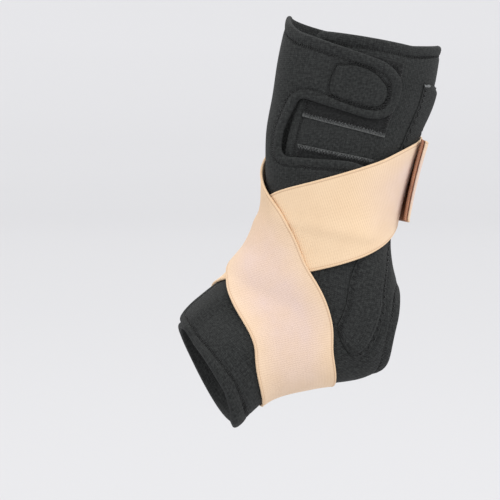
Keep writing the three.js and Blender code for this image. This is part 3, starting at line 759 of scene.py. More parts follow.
def lateral_corners():
    upper_end = UPPER_TAB_BOTTOM - (UPPER_TAB_END - LATERAL_EDGE - 9) * TAB_TILT
    gap_top = LOWER_TAB_TOP - TAB_GAP / DOWN
    return [
        (-SEAM, 0, 0),
        (-8, 0, BEND_RADIUS),
        (30, 0.043, BEND_RADIUS),
        (UPPER_TAB_END, UPPER_TAB_TOP, TAB_CORNER),
        (UPPER_TAB_END, UPPER_TAB_BOTTOM, TAB_CORNER * 0.7),
        (LATERAL_EDGE + 9, upper_end, POINT_RADIUS),
        (LATERAL_EDGE, gap_top + 0.03, BEND_RADIUS),
        (LATERAL_EDGE - 1, LOWER_TAB_TOP - 0.012, CORNER_RADIUS),
        (LOWER_TAB_END, LOWER_TAB_TOP, TAB_CORNER),
        (LOWER_TAB_END, LOWER_TAB_BOTTOM, TAB_CORNER),
        (LATERAL_FOOT_EDGE, LOWER_TAB_BOTTOM, CORNER_RADIUS),
        (LATERAL_FOOT_EDGE, 1.005, POINT_RADIUS),
        (-SEAM, 1, 0),
    ]


def medial_corners():
    return [
        (SEAM, 0, 0),
        (SEAM, 1, 0),
        (134, 1.008, BEND_RADIUS),
        (98, 1, BEND_RADIUS),
        (36, 1.01, BEND_RADIUS),
        (LAP_EDGE, 0.985, CORNER_RADIUS),
        (LAP_EDGE, 0.63, CORNER_RADIUS),
        (MEDIAL_EDGE, 0.545, CORNER_RADIUS),
        (MEDIAL_EDGE - 2, 0.33, CORNER_RADIUS),
        (MEDIAL_EDGE + 8, 0.034, POINT_RADIUS),
        (115, 0.031, BEND_RADIUS),
        (154, 0.008, BEND_RADIUS),
    ]


def heel_hole(side):
    turn = np.linspace(0, 2 * np.pi, 72, endpoint=False)
    middle = pattern(180 * side, HEEL_ALONG)
    ring = np.stack([np.cos(turn) * HEEL_HOLE[0] / 2, np.sin(turn) * HEEL_HOLE[1] / 2], -1)
    return middle + ring


def panel_outline(corners, side):
    """A panel's outline with the half of the heel opening cut out of it at the back seam."""
    loop = rounded(corners)
    hole = heel_hole(side)
    seam = SEAM * ROUND
    ring = hole[np.abs(hole[:, 0]) < seam]
    ring = ring[np.argsort(ring[:, 1])]
    # The opening starts and ends on the seam itself
    middle = -HEEL_ALONG * DOWN
    half = HEEL_HOLE[1] / 2
    ring = np.vstack([(side * seam, middle - half), ring, (side * seam, middle + half)])
    # The seam edge runs down on the inner panel and up on the outer one
    on_seam = np.abs(np.abs(loop[:, 0]) - seam) < 1e-6
    first = int(np.argmax(on_seam))
    if side > 0:
        cut = ring[::-1]
        return np.vstack([loop[:first + 1], cut, loop[first + 1:]])
    return np.vstack([loop, ring])


# The sewn line on the upper tab over its hook patch, in degrees and shares
TAB_STITCH = [
    (62, 0.104), (75, 0.096), (84, 0.102), (92, 0.118), (98, 0.142), (101, 0.166), (100, 0.19),
    (95, 0.207), (88, 0.212), (80, 0.207), (70, 0.196), (62, 0.184), (59, 0.16), (60, 0.128), (62, 0.104),
]


def edge_stitch(outline, inset):
    """The stitching beside a panel's rims, in runs that leave out the back seam."""
    ring = moved_in(resampled(outline, 0.8, True), inset)
    rim = distance_to(ring, outline, True)
    good = (rim > inset * 0.93) & (np.abs(ring[:, 0]) < SEAM * ROUND - 5)
    start = int(np.argmin(good))
    ring, good = np.roll(ring, -start, 0), np.roll(good, -start)
    runs, run = [], []
    for point, ok in zip(ring, good):
        if ok:
            run.append(point)
        elif run:
            runs.append(np.array(run))
            run = []
    if run:
        runs.append(np.array(run))
    return [run for run in runs if len(run) > 12]


def curve_points(table, steps):
    """Points along a cubic B-spline that starts and ends at the table's end points."""
    knots = np.vstack([2 * table[0] - table[1], table, 2 * table[-1] - table[-2]])
    place = np.arange(steps + 1) / steps * (len(table) - 1)
    i = np.minimum(place.astype(int), len(table) - 2)
    t = place - i
    weights = [(1 - t) ** 3, 3 * t**3 - 6 * t**2 + 4, -3 * t**3 + 3 * t**2 + 3 * t + 1, t**3]
    return sum(w[:, None] * knots[i + k] for k, w in enumerate(weights)) / 6


def step_on_form(angle, along, step, height):
    """How far degrees and share change for a step across the form."""
    turn = above(angle + ANGLE_STEP, along, height) - above(angle - ANGLE_STEP, along, height)
    turn /= 2 * ANGLE_STEP
    drop = above(angle, along + ALONG_STEP, height) - above(angle, along - ALONG_STEP, height)
    drop /= 2 * ALONG_STEP
    tt = (turn * turn).sum(-1)
    dd = (drop * drop).sum(-1)
    td = (turn * drop).sum(-1)
    st = (step * turn).sum(-1)
    sd = (step * drop).sum(-1)
    scale = tt * dd - td * td
    return (st * dd - sd * td) / scale, (sd * tt - st * td) / scale


def evened(values, rounds):
    """Values along a line, smoothed between its ends."""
    for _ in range(rounds):
        values[1:-1] = (values[:-2] + 2 * values[1:-1] + values[2:]) / 4
    return values


def band_places(angle, along, offsets, height, even=0):
    """Places of a flat band along a middle line, at offsets across it in millimetres.

    offsets has a row for each point of the line, and columns from one edge to the other. The band
    turns evenly over some rounds of smoothing.
    """
    middle = above(angle, along, height)
    ahead = np.gradient(middle, axis=0)
    normal = outward(angle, along)
    across = evened(unit(np.cross(normal, ahead)), even)
    across = unit(across - (across * normal).sum(-1, keepdims=True) * normal)
    places = np.zeros(offsets.shape + (2,))
    half = offsets.shape[1] // 2
    places[:, half] = np.stack([angle, along], -1)
    for side in (-1, 1):
        direction = across * side
        here = np.stack([angle, along], -1).astype(float)
        for j in range(1, half + 1):
            column = half + side * j
            stride = np.abs(offsets[:, column] - offsets[:, column - side])
            change = step_on_form(here[:, 0], here[:, 1], direction * stride[:, None], height)
            here = here + np.stack(change, -1)
            normal = outward(here[:, 0], here[:, 1])
            direction = unit(direction - (direction * normal).sum(-1, keepdims=True) * normal)
            places[:, column] = here
    return places


# How far the strap's rise reaches past what it covers, the sizes of the pocket and the hook tape, all
# in millimetres, and the degrees at which the strap meets the sole, leaves it and crosses itself
SKIRT = 12
MARGIN = 3
BRIDGE = 2
POCKET_WIDTH = 24
POCKET_CROWN = 2.0
POCKET_PRESSED = 0.6
POCKET_EDGE = 0.5
POCKET_END = 11
POCKET_LOWER_PART = 70
POCKET_WIDENING = 0.2
POCKET_HEM = 2.1
PAD_LENGTH = 39
PAD_LIP = 1.6
SOLE_ENTRY = -110
SOLE_EXIT = -240
SECOND_STRETCH = -300
STRAP_AIR = 0.45


def cover(distance, layer):
    return 1 - smooth((distance - MARGIN - BRIDGE * layer) / SKIRT)


def box_distance(angle, along, box):
    from_angle, to_angle, from_along, to_along = box
    beside = np.maximum(np.maximum(from_angle - angle, angle - to_angle), 0) * ROUND
    below = np.maximum(np.maximum(from_along - along, along - to_along), 0) * DOWN
    return np.hypot(beside, below)


def nearest_of(points, line):
    """For each point, the number of the nearest point of a line, and its distance."""
    tree = tree_of(line)
    found = [tree.find(point) for point in points.reshape(-1, 3)]
    numbers = np.array([f[1] for f in found]).reshape(points.shape[:-1])
    distances = np.array([f[2] for f in found]).reshape(points.shape[:-1])
    return numbers, distances


def pocket_line(steps):
    line = curve_points(POCKET_PATH, steps)
    ridge = POCKET_CROWN + (POCKET_PRESSED - POCKET_CROWN) * smooth(line[:, 2])
    return line, ridge


def rest_height(places, layer):
    """Height of what the strap lies on, over the inner form, for a layer of 0 to 1 at each row."""
    angle = (places[..., 0] + 180) % 360 - 180
    along = places[..., 1]
    reach = (1 + BRIDGE * layer) / ROUND
    tab = (TAB_RISE_START, LOWER_TAB_END, LOWER_TAB_TOP, LOWER_TAB_BOTTOM)
    lap = (LAP_EDGE, LAP_RISE_END, 0.57, 1)
    tab_lift = lateral_lift(angle + reach, np.minimum(along, LOWER_TAB_BOTTOM))
    on_tab = tab_lift * cover(box_distance(angle, along, tab), layer)
    on_lap = medial_lift(angle - reach, along) * cover(box_distance(angle, along, lap), layer)
    line, ridge = pocket_line(120)
    ridge = POCKET_EDGE + (ridge - POCKET_EDGE) * smooth(np.arange(len(ridge))[::-1] / 16)
    number, away = nearest_of(skin(angle, along), skin(line[:, 0], line[:, 1]))
    on_pocket = (GAP + ridge[number]) * cover(away - POCKET_WIDTH / 2, layer)
    return WALL + np.maximum(np.maximum(on_tab, on_lap), on_pocket) + STRAP_AIR


# The stretched strap bridges a hollow. A row sinks below its neighbours' mean by the sag at most,
# which is the square of the rows' spacing over this many millimetres. The rounds smooth its height
# and its turns, and it presses a little into what it lies on.
STRAP_ROWS = 420
SAG_OVER = 76
TAUT_ROUNDS = 110
EVEN_ROUNDS = 70
TURN_ROUNDS = 150
PRESSED_IN = 0.3


def tautened(height, spacing):
    """Heights of the strap's rows and columns, pulled taut over what lies under them."""
    sag = spacing**2 / SAG_OVER
    lowest = height - PRESSED_IN
    for _ in range(TAUT_ROUNDS):
        mean = (height[:-2] + height[2:]) / 2
        height[1:-1] = np.maximum(height[1:-1], mean - sag)
    height = evened(height, EVEN_ROUNDS)
    for _ in range(EVEN_ROUNDS):
        height[:, 1:-1] = (height[:, :-2] + 6 * height[:, 1:-1] + height[:, 2:]) / 8
    return evened(np.maximum(height, lowest), 8)


def strap_shape(settings):
    """The strap's places, offsets, run and underside heights, to the end of its hook tape."""
    line = curve_points(STRAP_PATH, 8 * STRAP_ROWS)
    run = run_along(above(line[:, 0], line[:, 1], WALL))
    rows = np.linspace(0, run[-1], STRAP_ROWS + 1)
    line = evened(np.stack([np.interp(rows, run, column) for column in line.T], 1), EVEN_ROUNDS)
    angle, along, share = line.T
    run = run_along(above(angle, along, WALL))
    half = in_mm(settings.strap_width) / 2
    selvage = in_mm(settings.selvage)
    beside = [0, 0.2, 0.45, 0.8, selvage - 0.25, selvage, selvage + 0.25, selvage + 0.7, selvage + 1.5]
    inner = np.linspace(0, half - selvage - 3.2, 12)
    one_side = np.concatenate([inner, half - np.array(beside[::-1])])
    table = np.concatenate([-one_side[:0:-1], one_side])
    places = band_places(angle, along, share[:, None] * table[None, :], WALL + STRAP_AIR, TURN_ROUNDS)
    layer = smooth((SOLE_EXIT - angle) / (SOLE_EXIT - SECOND_STRETCH))[:, None]
    height = rest_height(places, layer)
    first = line[angle > SOLE_ENTRY]
    _, away = nearest_of(skin(places[..., 0], places[..., 1]), skin(first[:, 0], first[:, 1]))
    thickness = in_mm(settings.strap_thickness)
    height += (thickness + STRAP_AIR) * cover(away - half, 0) * layer
    late = run[:, None] - (run[-1] - PAD_LENGTH)
    height += (PAD_THICKNESS + GAP) * smooth(late / SKIRT + 1.2)
    lower = np.linspace(0, 1, places.shape[1])[None, :]
    height += END_STAND_OFF * lower * smooth(late / PAD_LENGTH)
    return places, table, run, tautened(height, run[-1] / STRAP_ROWS)


def grid_sheet(rows, columns):
    """A bmesh grid whose points are numbered row by row."""
    sheet = bmesh.new()
    bmesh.ops.create_grid(sheet, x_segments=columns - 1, y_segments=rows - 1, size=1)
    order = sorted(sheet.verts, key=lambda v: (-round(v.co.y, 6), round(v.co.x, 6)))
    for i, vert in enumerate(order):
        vert.index = i
    sheet.verts.sort()
    sheet.verts.ensure_lookup_table()
    return sheet


def nearest_rim(edge, run):
    """Distance from a band's nearest rim, from its distance to the sides and its run."""
    return np.minimum(edge, np.minimum(run - run[0], run[-1] - run)[:, None])


def band_pattern(offsets, run):
    """Flat places of a band's grid: offsets across it and the run down it."""
    return np.stack(np.broadcast_arrays(offsets, -run[:, None]), -1)


def gridded(name, places, top, under, flat, rim, material):
    """A closed sheet on a grid of places, with heights over the form for its two sides."""
    rows, columns = places.shape[:2]
    upper = above(places[..., 0], places[..., 1], top).reshape(-1, 3)
    lower = above(places[..., 0], places[..., 1], under).reshape(-1, 3)
    rim = np.broadcast_to(rim, (rows, columns)).ravel()
    return closed_sheet(name, grid_sheet(rows, columns), upper, lower, flat.reshape(-1, 2), rim, material)


def rides(piece, slot, *nodes):
    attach(piece, "root")
    if nodes:
        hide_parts(*nodes)


# How the panels' rims are rounded and puffed, and the half widths of their grooves, in millimetres
RIM_REACH = 0.12
PUFF_AT = 3.0
PUFF_WIDTH = 2.1
FLAT_RIM = 6
EDGE_GROOVE = 0.95
TAB_GROOVE = 1.1
VALLEY = 2.2


def wrinkles(angle, along):
    """Soft folds of the worn sleeve, in millimetres: a few shallow hollows and swells."""
    x, y = angle * ROUND, along * DOWN
    return 0.18 * np.sin(x / 9.0 + 1.3 * np.sin(y / 17.0)) * np.sin(y / 13.0 + 0.7)


def panel(name, outline, lift, lines, settings, material):
    """One panel of the sleeve: a foam sheet with rounded, puffed rims and stitch grooves."""
    wall = in_mm(settings.wall)
    points, faces = cut_sheet(outline, [line for line, _, _ in lines])
    rim = distance_to(points, outline, True)
    # Only points of the rim itself are welded
    rim[rim < RIM_REACH] = 0
    rise = rim_rise(rim, wall)
    angle, along = points[:, 0] / ROUND, -points[:, 1] / DOWN
    base = lift(angle, along) + wall / 2
    top = base + rise + in_mm(settings.puff) * hump(rim - PUFF_AT, PUFF_WIDTH)
    for line, depth, width in lines:
        top -= depth * hump(distance_to(points, line), width) * (rim > 0)
    fold = wrinkles(angle, along) * smooth((rim - 1) / FLAT_RIM)
    upper = above(angle, along, np.where(rim > 0, top + fold, base))
    lower = above(angle, along, np.where(rim > 0, base - rise, base))
    sheet = bmesh.new()
    for x, y in points:
        sheet.verts.new((x, y, 0))
    sheet.verts.ensure_lookup_table()
    # A triangle with all its corners on the rim has no thickness, so it is left out
    for a, b, c in faces[rim[faces].any(1)]:
        sheet.faces.new([sheet.verts[a], sheet.verts[b], sheet.verts[c]])
    return closed_sheet(name, sheet, upper, lower, points, rim, material)


def pocket_edge(offset):
    """A line beside the stay pocket's middle line, in degrees and shares: the heel's side is above 0."""
    line = curve_points(POCKET_PATH, 60)
    offsets = offset * np.linspace(-1, 1, 9)[None, :] * np.ones((len(line), 1))
    return band_places(line[:, 0], line[:, 1], offsets, WALL)[:, -1]


def sleeve_lines(settings):
    """Outlines of both panels on the flat pattern, and their grooves: line, depth and half width."""
    hem = in_mm(settings.hem)
    groove = in_mm(settings.groove)
    made = {}
    for side, name, corners in ((1, "medial", medial_corners()), (-1, "lateral", lateral_corners())):
        outline = panel_outline(corners, side)
        made[name] = (outline, [(line, groove, EDGE_GROOVE) for line in edge_stitch(outline, hem)])
    tab = evened(resampled(pattern(*np.array(TAB_STITCH, float).T), 1.0), 3)
    made["lateral"][1].append((tab, groove * 1.6, TAB_GROOVE))
    return made


class BRACE_OT_sleeve(bpy.types.Operator):
    """Make the two foam panels of the sleeve, with their tabs"""

    bl_idname = "brace.sleeve"
    bl_label = "Foam sleeve"

    def execute(self, context):
        settings = context.scene.brace_sleeve
        foam = knitted_foam(settings)
        lines = sleeve_lines(settings)
        valley = pocket_edge(POCKET_WIDTH / 2 + 1.5)
        lines["medial"][1].append((pattern(valley[:, 0], valley[:, 1]), in_mm(settings.valley), VALLEY))
        for name, lift in (("medial", medial_lift), ("lateral", lateral_lift)):
            outline, sewn = lines[name]
            piece = panel(f"{name}_sleeve", outline, lift, sewn, settings, foam)
            rides(piece, "foam_sleeve", f"{name}_panel")
        return {"FINISHED"}


PATCH_HEIGHT = 40
PATCHES = {
    "upper": (MEDIAL_EDGE + 10, UPPER_TAB_END, (0.06, 0.075), (0.238, 0.284)),
    "lower": (MEDIAL_EDGE + 10, LOWER_TAB_END, (0.307, 0.345), (LOWER_TAB_BOTTOM, LOWER_TAB_BOTTOM)),
}


def patch_place(patch, across, down):
    """Degrees and share of a place on a patch, from its shares across and down."""
    start, end, top, bottom = PATCHES[patch]
    angle = start + (end - start) * across
    high = top[0] + (top[1] - top[0]) * across
    low = bottom[0] + (bottom[1] - bottom[0]) * across
    return angle, high + (low - high) * down


def edged_steps(count):
    """Shares from 0 to 1 with close steps at both ends, for a rounded rim."""
    return np.concatenate([[0, 0.006], np.linspace(0.02, 0.98, count - 4), [0.994, 1]])


class BRACE_OT_loop_patches(bpy.types.Operator):
    """Make the loop patches that the tabs fasten to"""

    bl_idname = "brace.loop_patches"
    bl_label = "Loop patches"

    def execute(self, context):
        material = brushed_loops(context.scene.brace_sleeve)
        for patch in PATCHES:
            start, end = PATCHES[patch][:2]
            down, across = np.meshgrid(edged_steps(40), edged_steps(52), indexing="ij")
            angle, along = patch_place(patch, across, down)
            places = np.stack([angle, along], -1)
            flat = pattern(angle, along)
            beside = np.minimum(across, 1 - across) * (end - start) * ROUND
            rim = np.minimum(beside, np.minimum(down, 1 - down) * PATCH_HEIGHT)
            rise = rim_rise(rim, PATCH_THICKNESS)
            middle = WALL + GAP + PATCH_THICKNESS / 2
            pile = 0.1 * np.sin(flat[..., 0] * 1.9) * np.sin(flat[..., 1] * 2.3) * (rim > 1)
            top = middle + rise + pile
            # The upper patch is frayed along its lower edge, and the lower one hardly at all
            frayed = (1 - down) * PATCH_HEIGHT if patch == "upper" else down * PATCH_HEIGHT + 1.1
            piece = gridded(f"{patch}_loop_patch", places, top, middle - rise, flat, frayed, material)
            rides(piece, "loop_fabric", f"{patch}_landing_patch")
            points = above(angle, along, middle)
        return {"FINISHED"}


def pocket_half(run):
    """Half width of the stay pocket along its run: rounded at its lower end."""
    end = np.clip((run - run[-1] + POCKET_END) / POCKET_END, 0, 1)
    return POCKET_WIDTH / 2 * np.sqrt(1 - 0.9 * end**2.2)


def pocket_places(line, run, offsets):
    """Places of the pocket at offsets from its middle line: its lower part is wider towards the toes."""
    wider = 1 + POCKET_WIDENING * smooth((run[:, None] - run[-1] + POCKET_LOWER_PART) / 30)
    return band_places(line[:, 0], line[:, 1], offsets * np.where(offsets < 0, wider, 1), WALL)


class BRACE_OT_stay_pocket(bpy.types.Operator):
    """Make the sewn pocket over the stay on the inner side"""

    bl_idname = "brace.stay_pocket"
    bl_label = "Stay pocket"

    def execute(self, context):
        settings = context.scene.brace_sleeve
        material = knitted_foam(settings)
        material.name = "ribbed_pocket_knit"
        line, ridge = pocket_line(170)
        run = run_along(above(line[:, 0], line[:, 1], WALL))
        share = np.concatenate([[-1, -0.985, -0.95], np.linspace(-0.9, 0.9, 31), [0.95, 0.985, 1]])[None, :]
        half = pocket_half(run)[:, None]
        places = pocket_places(line, run, half * share)
        flat = band_pattern(share * POCKET_WIDTH / 2, run)
        rim = nearest_rim(half * (1 - np.abs(share)), run)
        rise = rim_rise(rim, POCKET_EDGE)
        # The stay stands behind the middle of the pocket: a gentle rise to its ridge, and a steep fall
        up = smooth((share + 0.8) / 1.25) ** 0.9
        fall = 1 - smooth((share - 0.45) / 0.32)
        swell = np.maximum(ridge - POCKET_EDGE, 0)[:, None] * 1.9 * np.minimum(up, fall) * smooth(rim / 4)
        swell -= 0.25 * hump(half * (1 - np.abs(share)) - 1.6, 0.8) * smooth(rim)
        base = WALL + GAP + POCKET_EDGE / 2
        top = np.where(rim > 0, base + rise + np.maximum(swell, -0.2), base)
        piece = gridded("stay_pocket_cover", places, top, base - rise, flat, rim, material)
        rides(piece, "pocket_fabric", "stay_pocket")
        return {"FINISHED"}


def strap_part(settings, start, end):
    """The strap's shape between two runs before its end, with its distance from the side edges."""
    places, table, run, height = strap_shape(settings)
    kept = (run >= run[-1] - start) & (run <= run[-1] - end)
    edge = in_mm(settings.strap_width) / 2 - np.abs(table)[None, :]
    return places[kept], table, run[kept], height[kept], edge


class BRACE_OT_strap(bpy.types.Operator):
    """Make the elastic strap that runs in a figure of eight"""

    bl_idname = "brace.strap"
    bl_label = "Elastic strap"

    def execute(self, context):
        settings = context.scene.brace_strap
        places, table, run, height, edge = strap_part(settings, math.inf, PAD_LIP)
        thickness = in_mm(settings.strap_thickness)
        selvage = in_mm(settings.selvage)
        rim = nearest_rim(edge, run)
        rise = rim_rise(rim, thickness)
        bead = 0.1 * hump(edge - selvage * 0.5, 0.6) - 0.16 * hump(edge - selvage, 0.3)
        base = height + thickness / 2
        top = np.where(rim > 0, base + rise + bead * smooth(rim / 0.8), base)
        under = np.where(rim > 0, base - rise, base)
        flat = band_pattern(table[None, :], run)
        piece = gridded("figure_of_eight_strap", places, top, under, flat, rim, woven_elastic(settings))
        rides(piece, "elastic", "elastic_strap")
        return {"FINISHED"}


class BRACE_OT_hook_pad(bpy.types.Operator):
    """Make the hook tape under the strap's end"""

    bl_idname = "brace.hook_pad"
    bl_label = "Hook tape"

    def execute(self, context):
        settings = context.scene.brace_strap
        places, table, run, height, edge = strap_part(settings, PAD_LENGTH, 0)
        rim = nearest_rim(edge, run)
        rise = rim_rise(rim, PAD_THICKNESS)
        base = height - 0.1 - PAD_THICKNESS / 2
        flat = band_pattern(table[None, :], run)
        material = hooks_with_painted_shade(settings)
        piece = gridded("hook_tape", places, base + rise, base - rise, flat, rim, material)
        rides(piece, "hook_fabric", "strap_hook_pad")
        return {"FINISHED"}


# The bar tack at the top of the stay pocket: degrees and shares of its ends, pitch and reach in metres
BAR_TACK = np.array([[134.0, 142.0], [0.122, 0.118]])
TACK_PITCH = 0.0009
TACK_REACH = 0.0011

# A thread's share of the way from hole to hole, and its height over the cloth in millimetres
STITCH = ((0.0, -0.3), (0.2, 0.12), (0.5, 0.24), (0.8, 0.12))


def stitches(holes, lift, base):
    """Points of a thread that goes in and out of the cloth through a row of holes."""
    points = []
    for start, end in zip(holes[:-1], holes[1:]):
        points += [(*(start + (end - start) * share), rise) for share, rise in STITCH]
    points = np.array(points)
    angle, along = points[:, 0] / ROUND, -points[:, 1] / DOWN
    return above(angle, along, lift(angle, along) + base + points[:, 2])


def to_and_fro(count):
    """1 and -1 in turn."""
    return np.where(np.arange(count) % 2 == 0, 1, -1)


def zigzag(line, pitch, reach):
    """Holes of a zigzag along a flat line, or of a straight seam where the reach is 0."""
    even = resampled(line, in_mm(pitch) / 2)
    side = left_of(unit(np.gradient(even, axis=0)))
    return even + side * to_and_fro(len(even))[:, None] * in_mm(reach)


def threads(name, lines, settings, material):
    """Thread tubes through lists of points, as one mesh."""
    curve = bpy.data.curves.new(name, "CURVE")
    curve.dimensions = "3D"
    curve.bevel_depth = settings.thread / 2
    curve.bevel_resolution = 0
    curve.use_fill_caps = True
    for points in lines:
        spline = curve.splines.new("POLY")
        spline.points.add(len(points) - 1)
        flat = np.concatenate([points * MM, np.ones((len(points), 1))], 1)
        spline.points.foreach_set("co", flat.ravel())
    holder = bpy.data.objects.new(name + "_line", curve)
    bpy.context.scene.collection.objects.link(holder)
    mesh = bpy.data.meshes.new_from_object(holder.evaluated_get(bpy.context.evaluated_depsgraph_get()))
    bpy.data.objects.remove(holder)
    bpy.data.curves.remove(curve)
    mesh.name = name
    mesh.materials.clear()
    mesh.materials.append(material)
    mesh.polygons.foreach_set("use_smooth", [True] * len(mesh.polygons))
    piece = bpy.data.objects.new(name, mesh)
    bpy.context.scene.collection.objects.link(piece)
    return piece


class BRACE_OT_stitching(bpy.types.Operator):
    """Sew the rims, the tab, the patches, the stay pocket and the back seam"""

    bl_idname = "brace.stitching"
    bl_label = "Stitching"

    def execute(self, context):
        settings = context.scene.brace_stitch
        sleeve = context.scene.brace_sleeve
        black = sewing_thread("black_polyester_thread", settings.thread_dark, settings.thread_dark_light)
        grey = sewing_thread("grey_polyester_thread", settings.thread_grey, settings.thread_grey_light)
        pale = sewing_thread("pale_polyester_thread", settings.tack, settings.tack)
        pitch, reach = settings.pitch, settings.reach
        lifts = {"medial": medial_lift, "lateral": lateral_lift}
        for name, (_, sewn) in sleeve_lines(sleeve).items():
            runs = []
            for line, depth, width in sewn:
                swing = reach if width == EDGE_GROOVE else 0.0
                runs.append(stitches(zigzag(line, pitch, swing), lifts[name], WALL - depth * 0.8))
            rides(threads(f"{name}_stitching", runs, settings, black), "foam_sleeve")

        # A wide flat seam joins the two panels down the back, above and below the heel opening
        half = HEEL_HOLE[1] / 2 / DOWN
        runs = []
        for start, end in ((0.012, HEEL_ALONG - half - 0.008), (HEEL_ALONG + half + 0.008, 0.988)):
            line = pattern(np.array([180.0, 180.0]), np.array([start, end]))
            runs.append(stitches(zigzag(line, pitch, settings.seam_reach), level, WALL))
        rides(threads("back_seam_stitching", runs, settings, black), "foam_sleeve")

        # Both patches are sewn all round in black, and overcast in grey along one edge
        runs, strokes = [], []
        on_patch = WALL + GAP + PATCH_THICKNESS
        for patch, edge in (("upper", 0.965), ("lower", 0.035)):
            corners = [(0.04, 0.06), (0.96, 0.06), (0.96, 0.94), (0.04, 0.94), (0.04, 0.06)]
            across, down = resampled(corners, 0.03).T
            line = pattern(*patch_place(patch, across, down))
            runs.append(stitches(zigzag(line, pitch, reach), level, on_patch))
            across, down = resampled([(0.02, edge), (0.98, edge)], 0.03).T
            line = pattern(*patch_place(patch, across, down))
            strokes.append(stitches(zigzag(line, settings.patch_pitch, reach * 0.8), level, on_patch))
        rides(threads("patch_stitching", runs, settings, black), "loop_fabric")
        rides(threads("patch_overcast", strokes, settings, grey), "loop_fabric")

        # The pocket is sewn down both its sides and round its lower end, in black
        line, _ = pocket_line(76)
        run = run_along(above(line[:, 0], line[:, 1], WALL))
        swing = to_and_fro(len(run)) * 1.1 * in_mm(reach)
        offset = np.maximum(pocket_half(run) - POCKET_HEM + swing, 0.5)
        places = pocket_places(line, run, offset[:, None] * np.linspace(-1, 1, 9)[None, :])[:-1]
        loop = np.vstack([places[:, 0], places[::-1, -1]])
        seam = stitches(pattern(loop[:, 0], loop[:, 1]), level, WALL + GAP + POCKET_EDGE)
        rides(threads("pocket_stitching", [seam], settings, black), "pocket_fabric")
        tack = pattern(*BAR_TACK)
        bar = stitches(zigzag(tack, TACK_PITCH, TACK_REACH), level, WALL + GAP + POCKET_EDGE)
        rides(threads("pocket_bar_tack", [bar], settings, pale), "pocket_fabric")
        return {"FINISHED"}


# The photograph's view, in degrees, millimetres and millimetres of lens on a 36 mm sensor
CAMERA_AZIMUTH = -12.0
CAMERA_ELEVATION = 4.0
CAMERA_DISTANCE = 900.0
CAMERA_RIGHT = -44.35
CAMERA_UP = -1.79
CAMERA_LENS = 108.86
SENSOR = 36.0


# The backdrop's floor radius in metres, and the rise and growth of each ring of its curved wall
FLOOR_RADIUS = 6.0
WALL_STEPS = ((0.03, 1.06), (0.14, 1.05), (0.36, 1.04), (0.8, 1.03), (1.5, 1.015), (2.4, 1.0))
LIGHT_SIZE = 1.2


def view_directions():
    a, e = math.radians(CAMERA_AZIMUTH), math.radians(CAMERA_ELEVATION)
    back = Vector((math.sin(a) * math.cos(e), -math.cos(a) * math.cos(e), math.sin(e)))
    right = Vector((math.cos(a), math.sin(a), 0))
    return back, right, back.cross(right)


def area_light(name, place, power):
    """A soft round lamp that points at the origin."""
    light = bpy.data.lights.new(name, "AREA")
    light.shape = "DISK"
    light.size = LIGHT_SIZE
    light.energy = power
    holder = bpy.data.objects.new(name, light)
    holder.location = place
    holder.rotation_mode = "QUATERNION"
    holder.rotation_quaternion = (-Vector(place)).to_track_quat("-Z", "Y")
    bpy.context.scene.collection.objects.link(holder)


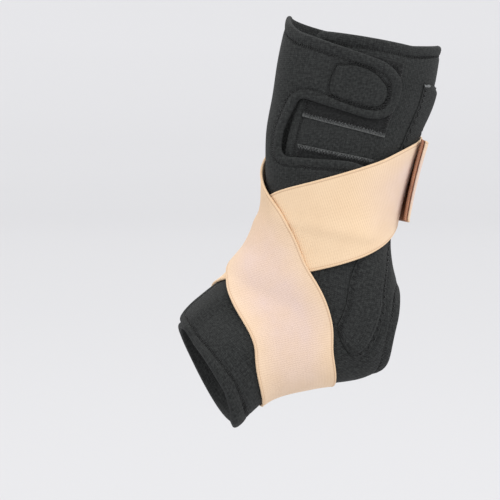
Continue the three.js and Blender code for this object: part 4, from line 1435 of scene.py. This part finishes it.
class BRACE_OT_stage(bpy.types.Operator):
    """Set up the camera, the pale floor and backdrop, and the soft studio light"""

    bl_idname = "brace.stage"
    bl_label = "Stage"

    def execute(self, context):
        settings = context.scene.brace_stage
        back, right, up = view_directions()
        target = (right * CAMERA_RIGHT + up * CAMERA_UP) * MM
        camera = bpy.data.cameras.new("photo_view")
        camera.lens = CAMERA_LENS
        camera.sensor_width = SENSOR
        holder = bpy.data.objects.new("photo_view", camera)
        holder.location = target + back * CAMERA_DISTANCE * MM
        holder.rotation_mode = "QUATERNION"
        holder.rotation_quaternion = Matrix((right, up, back)).transposed().to_quaternion()
        context.scene.collection.objects.link(holder)
        context.scene.camera = holder

        floor = bmesh.new()
        bmesh.ops.create_circle(floor, cap_ends=True, cap_tris=False, segments=96, radius=FLOOR_RADIUS)
        drop = Matrix.Translation((0, 0, -settings.floor_drop))
        bmesh.ops.transform(floor, matrix=drop, verts=floor.verts[:])
        rim = [edge for edge in floor.edges if edge.is_boundary]
        for rise, grow in WALL_STEPS:
            made = bmesh.ops.extrude_edge_only(floor, edges=rim)["geom"]
            verts = [g for g in made if isinstance(g, bmesh.types.BMVert)]
            rim = [g for g in made if isinstance(g, bmesh.types.BMEdge)]
            bmesh.ops.scale(floor, vec=(grow, grow, 1), verts=verts)
            for vert in verts:
                vert.co.z = rise - settings.floor_drop
            rim = [edge for edge in rim if all(v in verts for v in edge.verts)]
        stage = finished("pale_backdrop", floor, painted_board(settings))

        area_light("key_light", (0.1, -1.5, 1.2), settings.key_power)
        area_light("fill_light", (1.4, -0.5, 1.0), settings.fill_power)
        area_light("top_light", (-0.4, 0.8, 1.5), settings.top_power)
        world = bpy.data.worlds.new("even_studio_light")
        world.use_nodes = True
        background = world.node_tree.nodes["Background"]
        background.inputs["Color"].default_value = (1, 1, 1, 1)
        background.inputs["Strength"].default_value = settings.ambient
        context.scene.world = world
        # The photograph's plain tones, without a film curve
        context.scene.view_settings.view_transform = "Standard"
        return {"FINISHED"}


class BRACE_PT_panel(bpy.types.Panel):
    """Sizes, colours and pieces of the ankle brace"""

    bl_idname = "BRACE_PT_panel"
    bl_label = "Ankle brace"
    bl_space_type = "VIEW_3D"
    bl_region_type = "UI"
    bl_category = "Ankle brace"

    def draw(self, context):
        layout = self.layout
        for operator in OPERATORS:
            layout.operator(operator.bl_idname)
        for name in SETTINGS:
            group = getattr(context.scene, name)
            box = layout.box()
            for key in group.__annotations__:
                box.prop(group, key)


OPERATORS = (
    BRACE_OT_sleeve,
    BRACE_OT_loop_patches,
    BRACE_OT_stay_pocket,
    BRACE_OT_strap,
    BRACE_OT_hook_pad,
    BRACE_OT_stitching,
    BRACE_OT_stage,
)
SETTINGS = {
    "brace_sleeve": SleeveSettings,
    "brace_strap": StrapSettings,
    "brace_stitch": StitchSettings,
    "brace_stage": StageSettings,
}


def register():
    for group in SETTINGS.values():
        bpy.utils.register_class(group)
    for operator in OPERATORS:
        bpy.utils.register_class(operator)
    bpy.utils.register_class(BRACE_PT_panel)
    for name, group in SETTINGS.items():
        setattr(bpy.types.Scene, name, PointerProperty(type=group))


def unregister():
    for name in SETTINGS:
        delattr(bpy.types.Scene, name)
    bpy.utils.unregister_class(BRACE_PT_panel)
    for operator in reversed(OPERATORS):
        bpy.utils.unregister_class(operator)
    for group in SETTINGS.values():
        bpy.utils.unregister_class(group)


def main():
    """Makes every piece and the stage."""
    register()
    bpy.ops.brace.stage()
    bpy.ops.brace.sleeve()
    bpy.ops.brace.loop_patches()
    bpy.ops.brace.stay_pocket()
    bpy.ops.brace.strap()
    bpy.ops.brace.hook_pad()
    bpy.ops.brace.stitching()


if __name__ == "__main__":
    main()
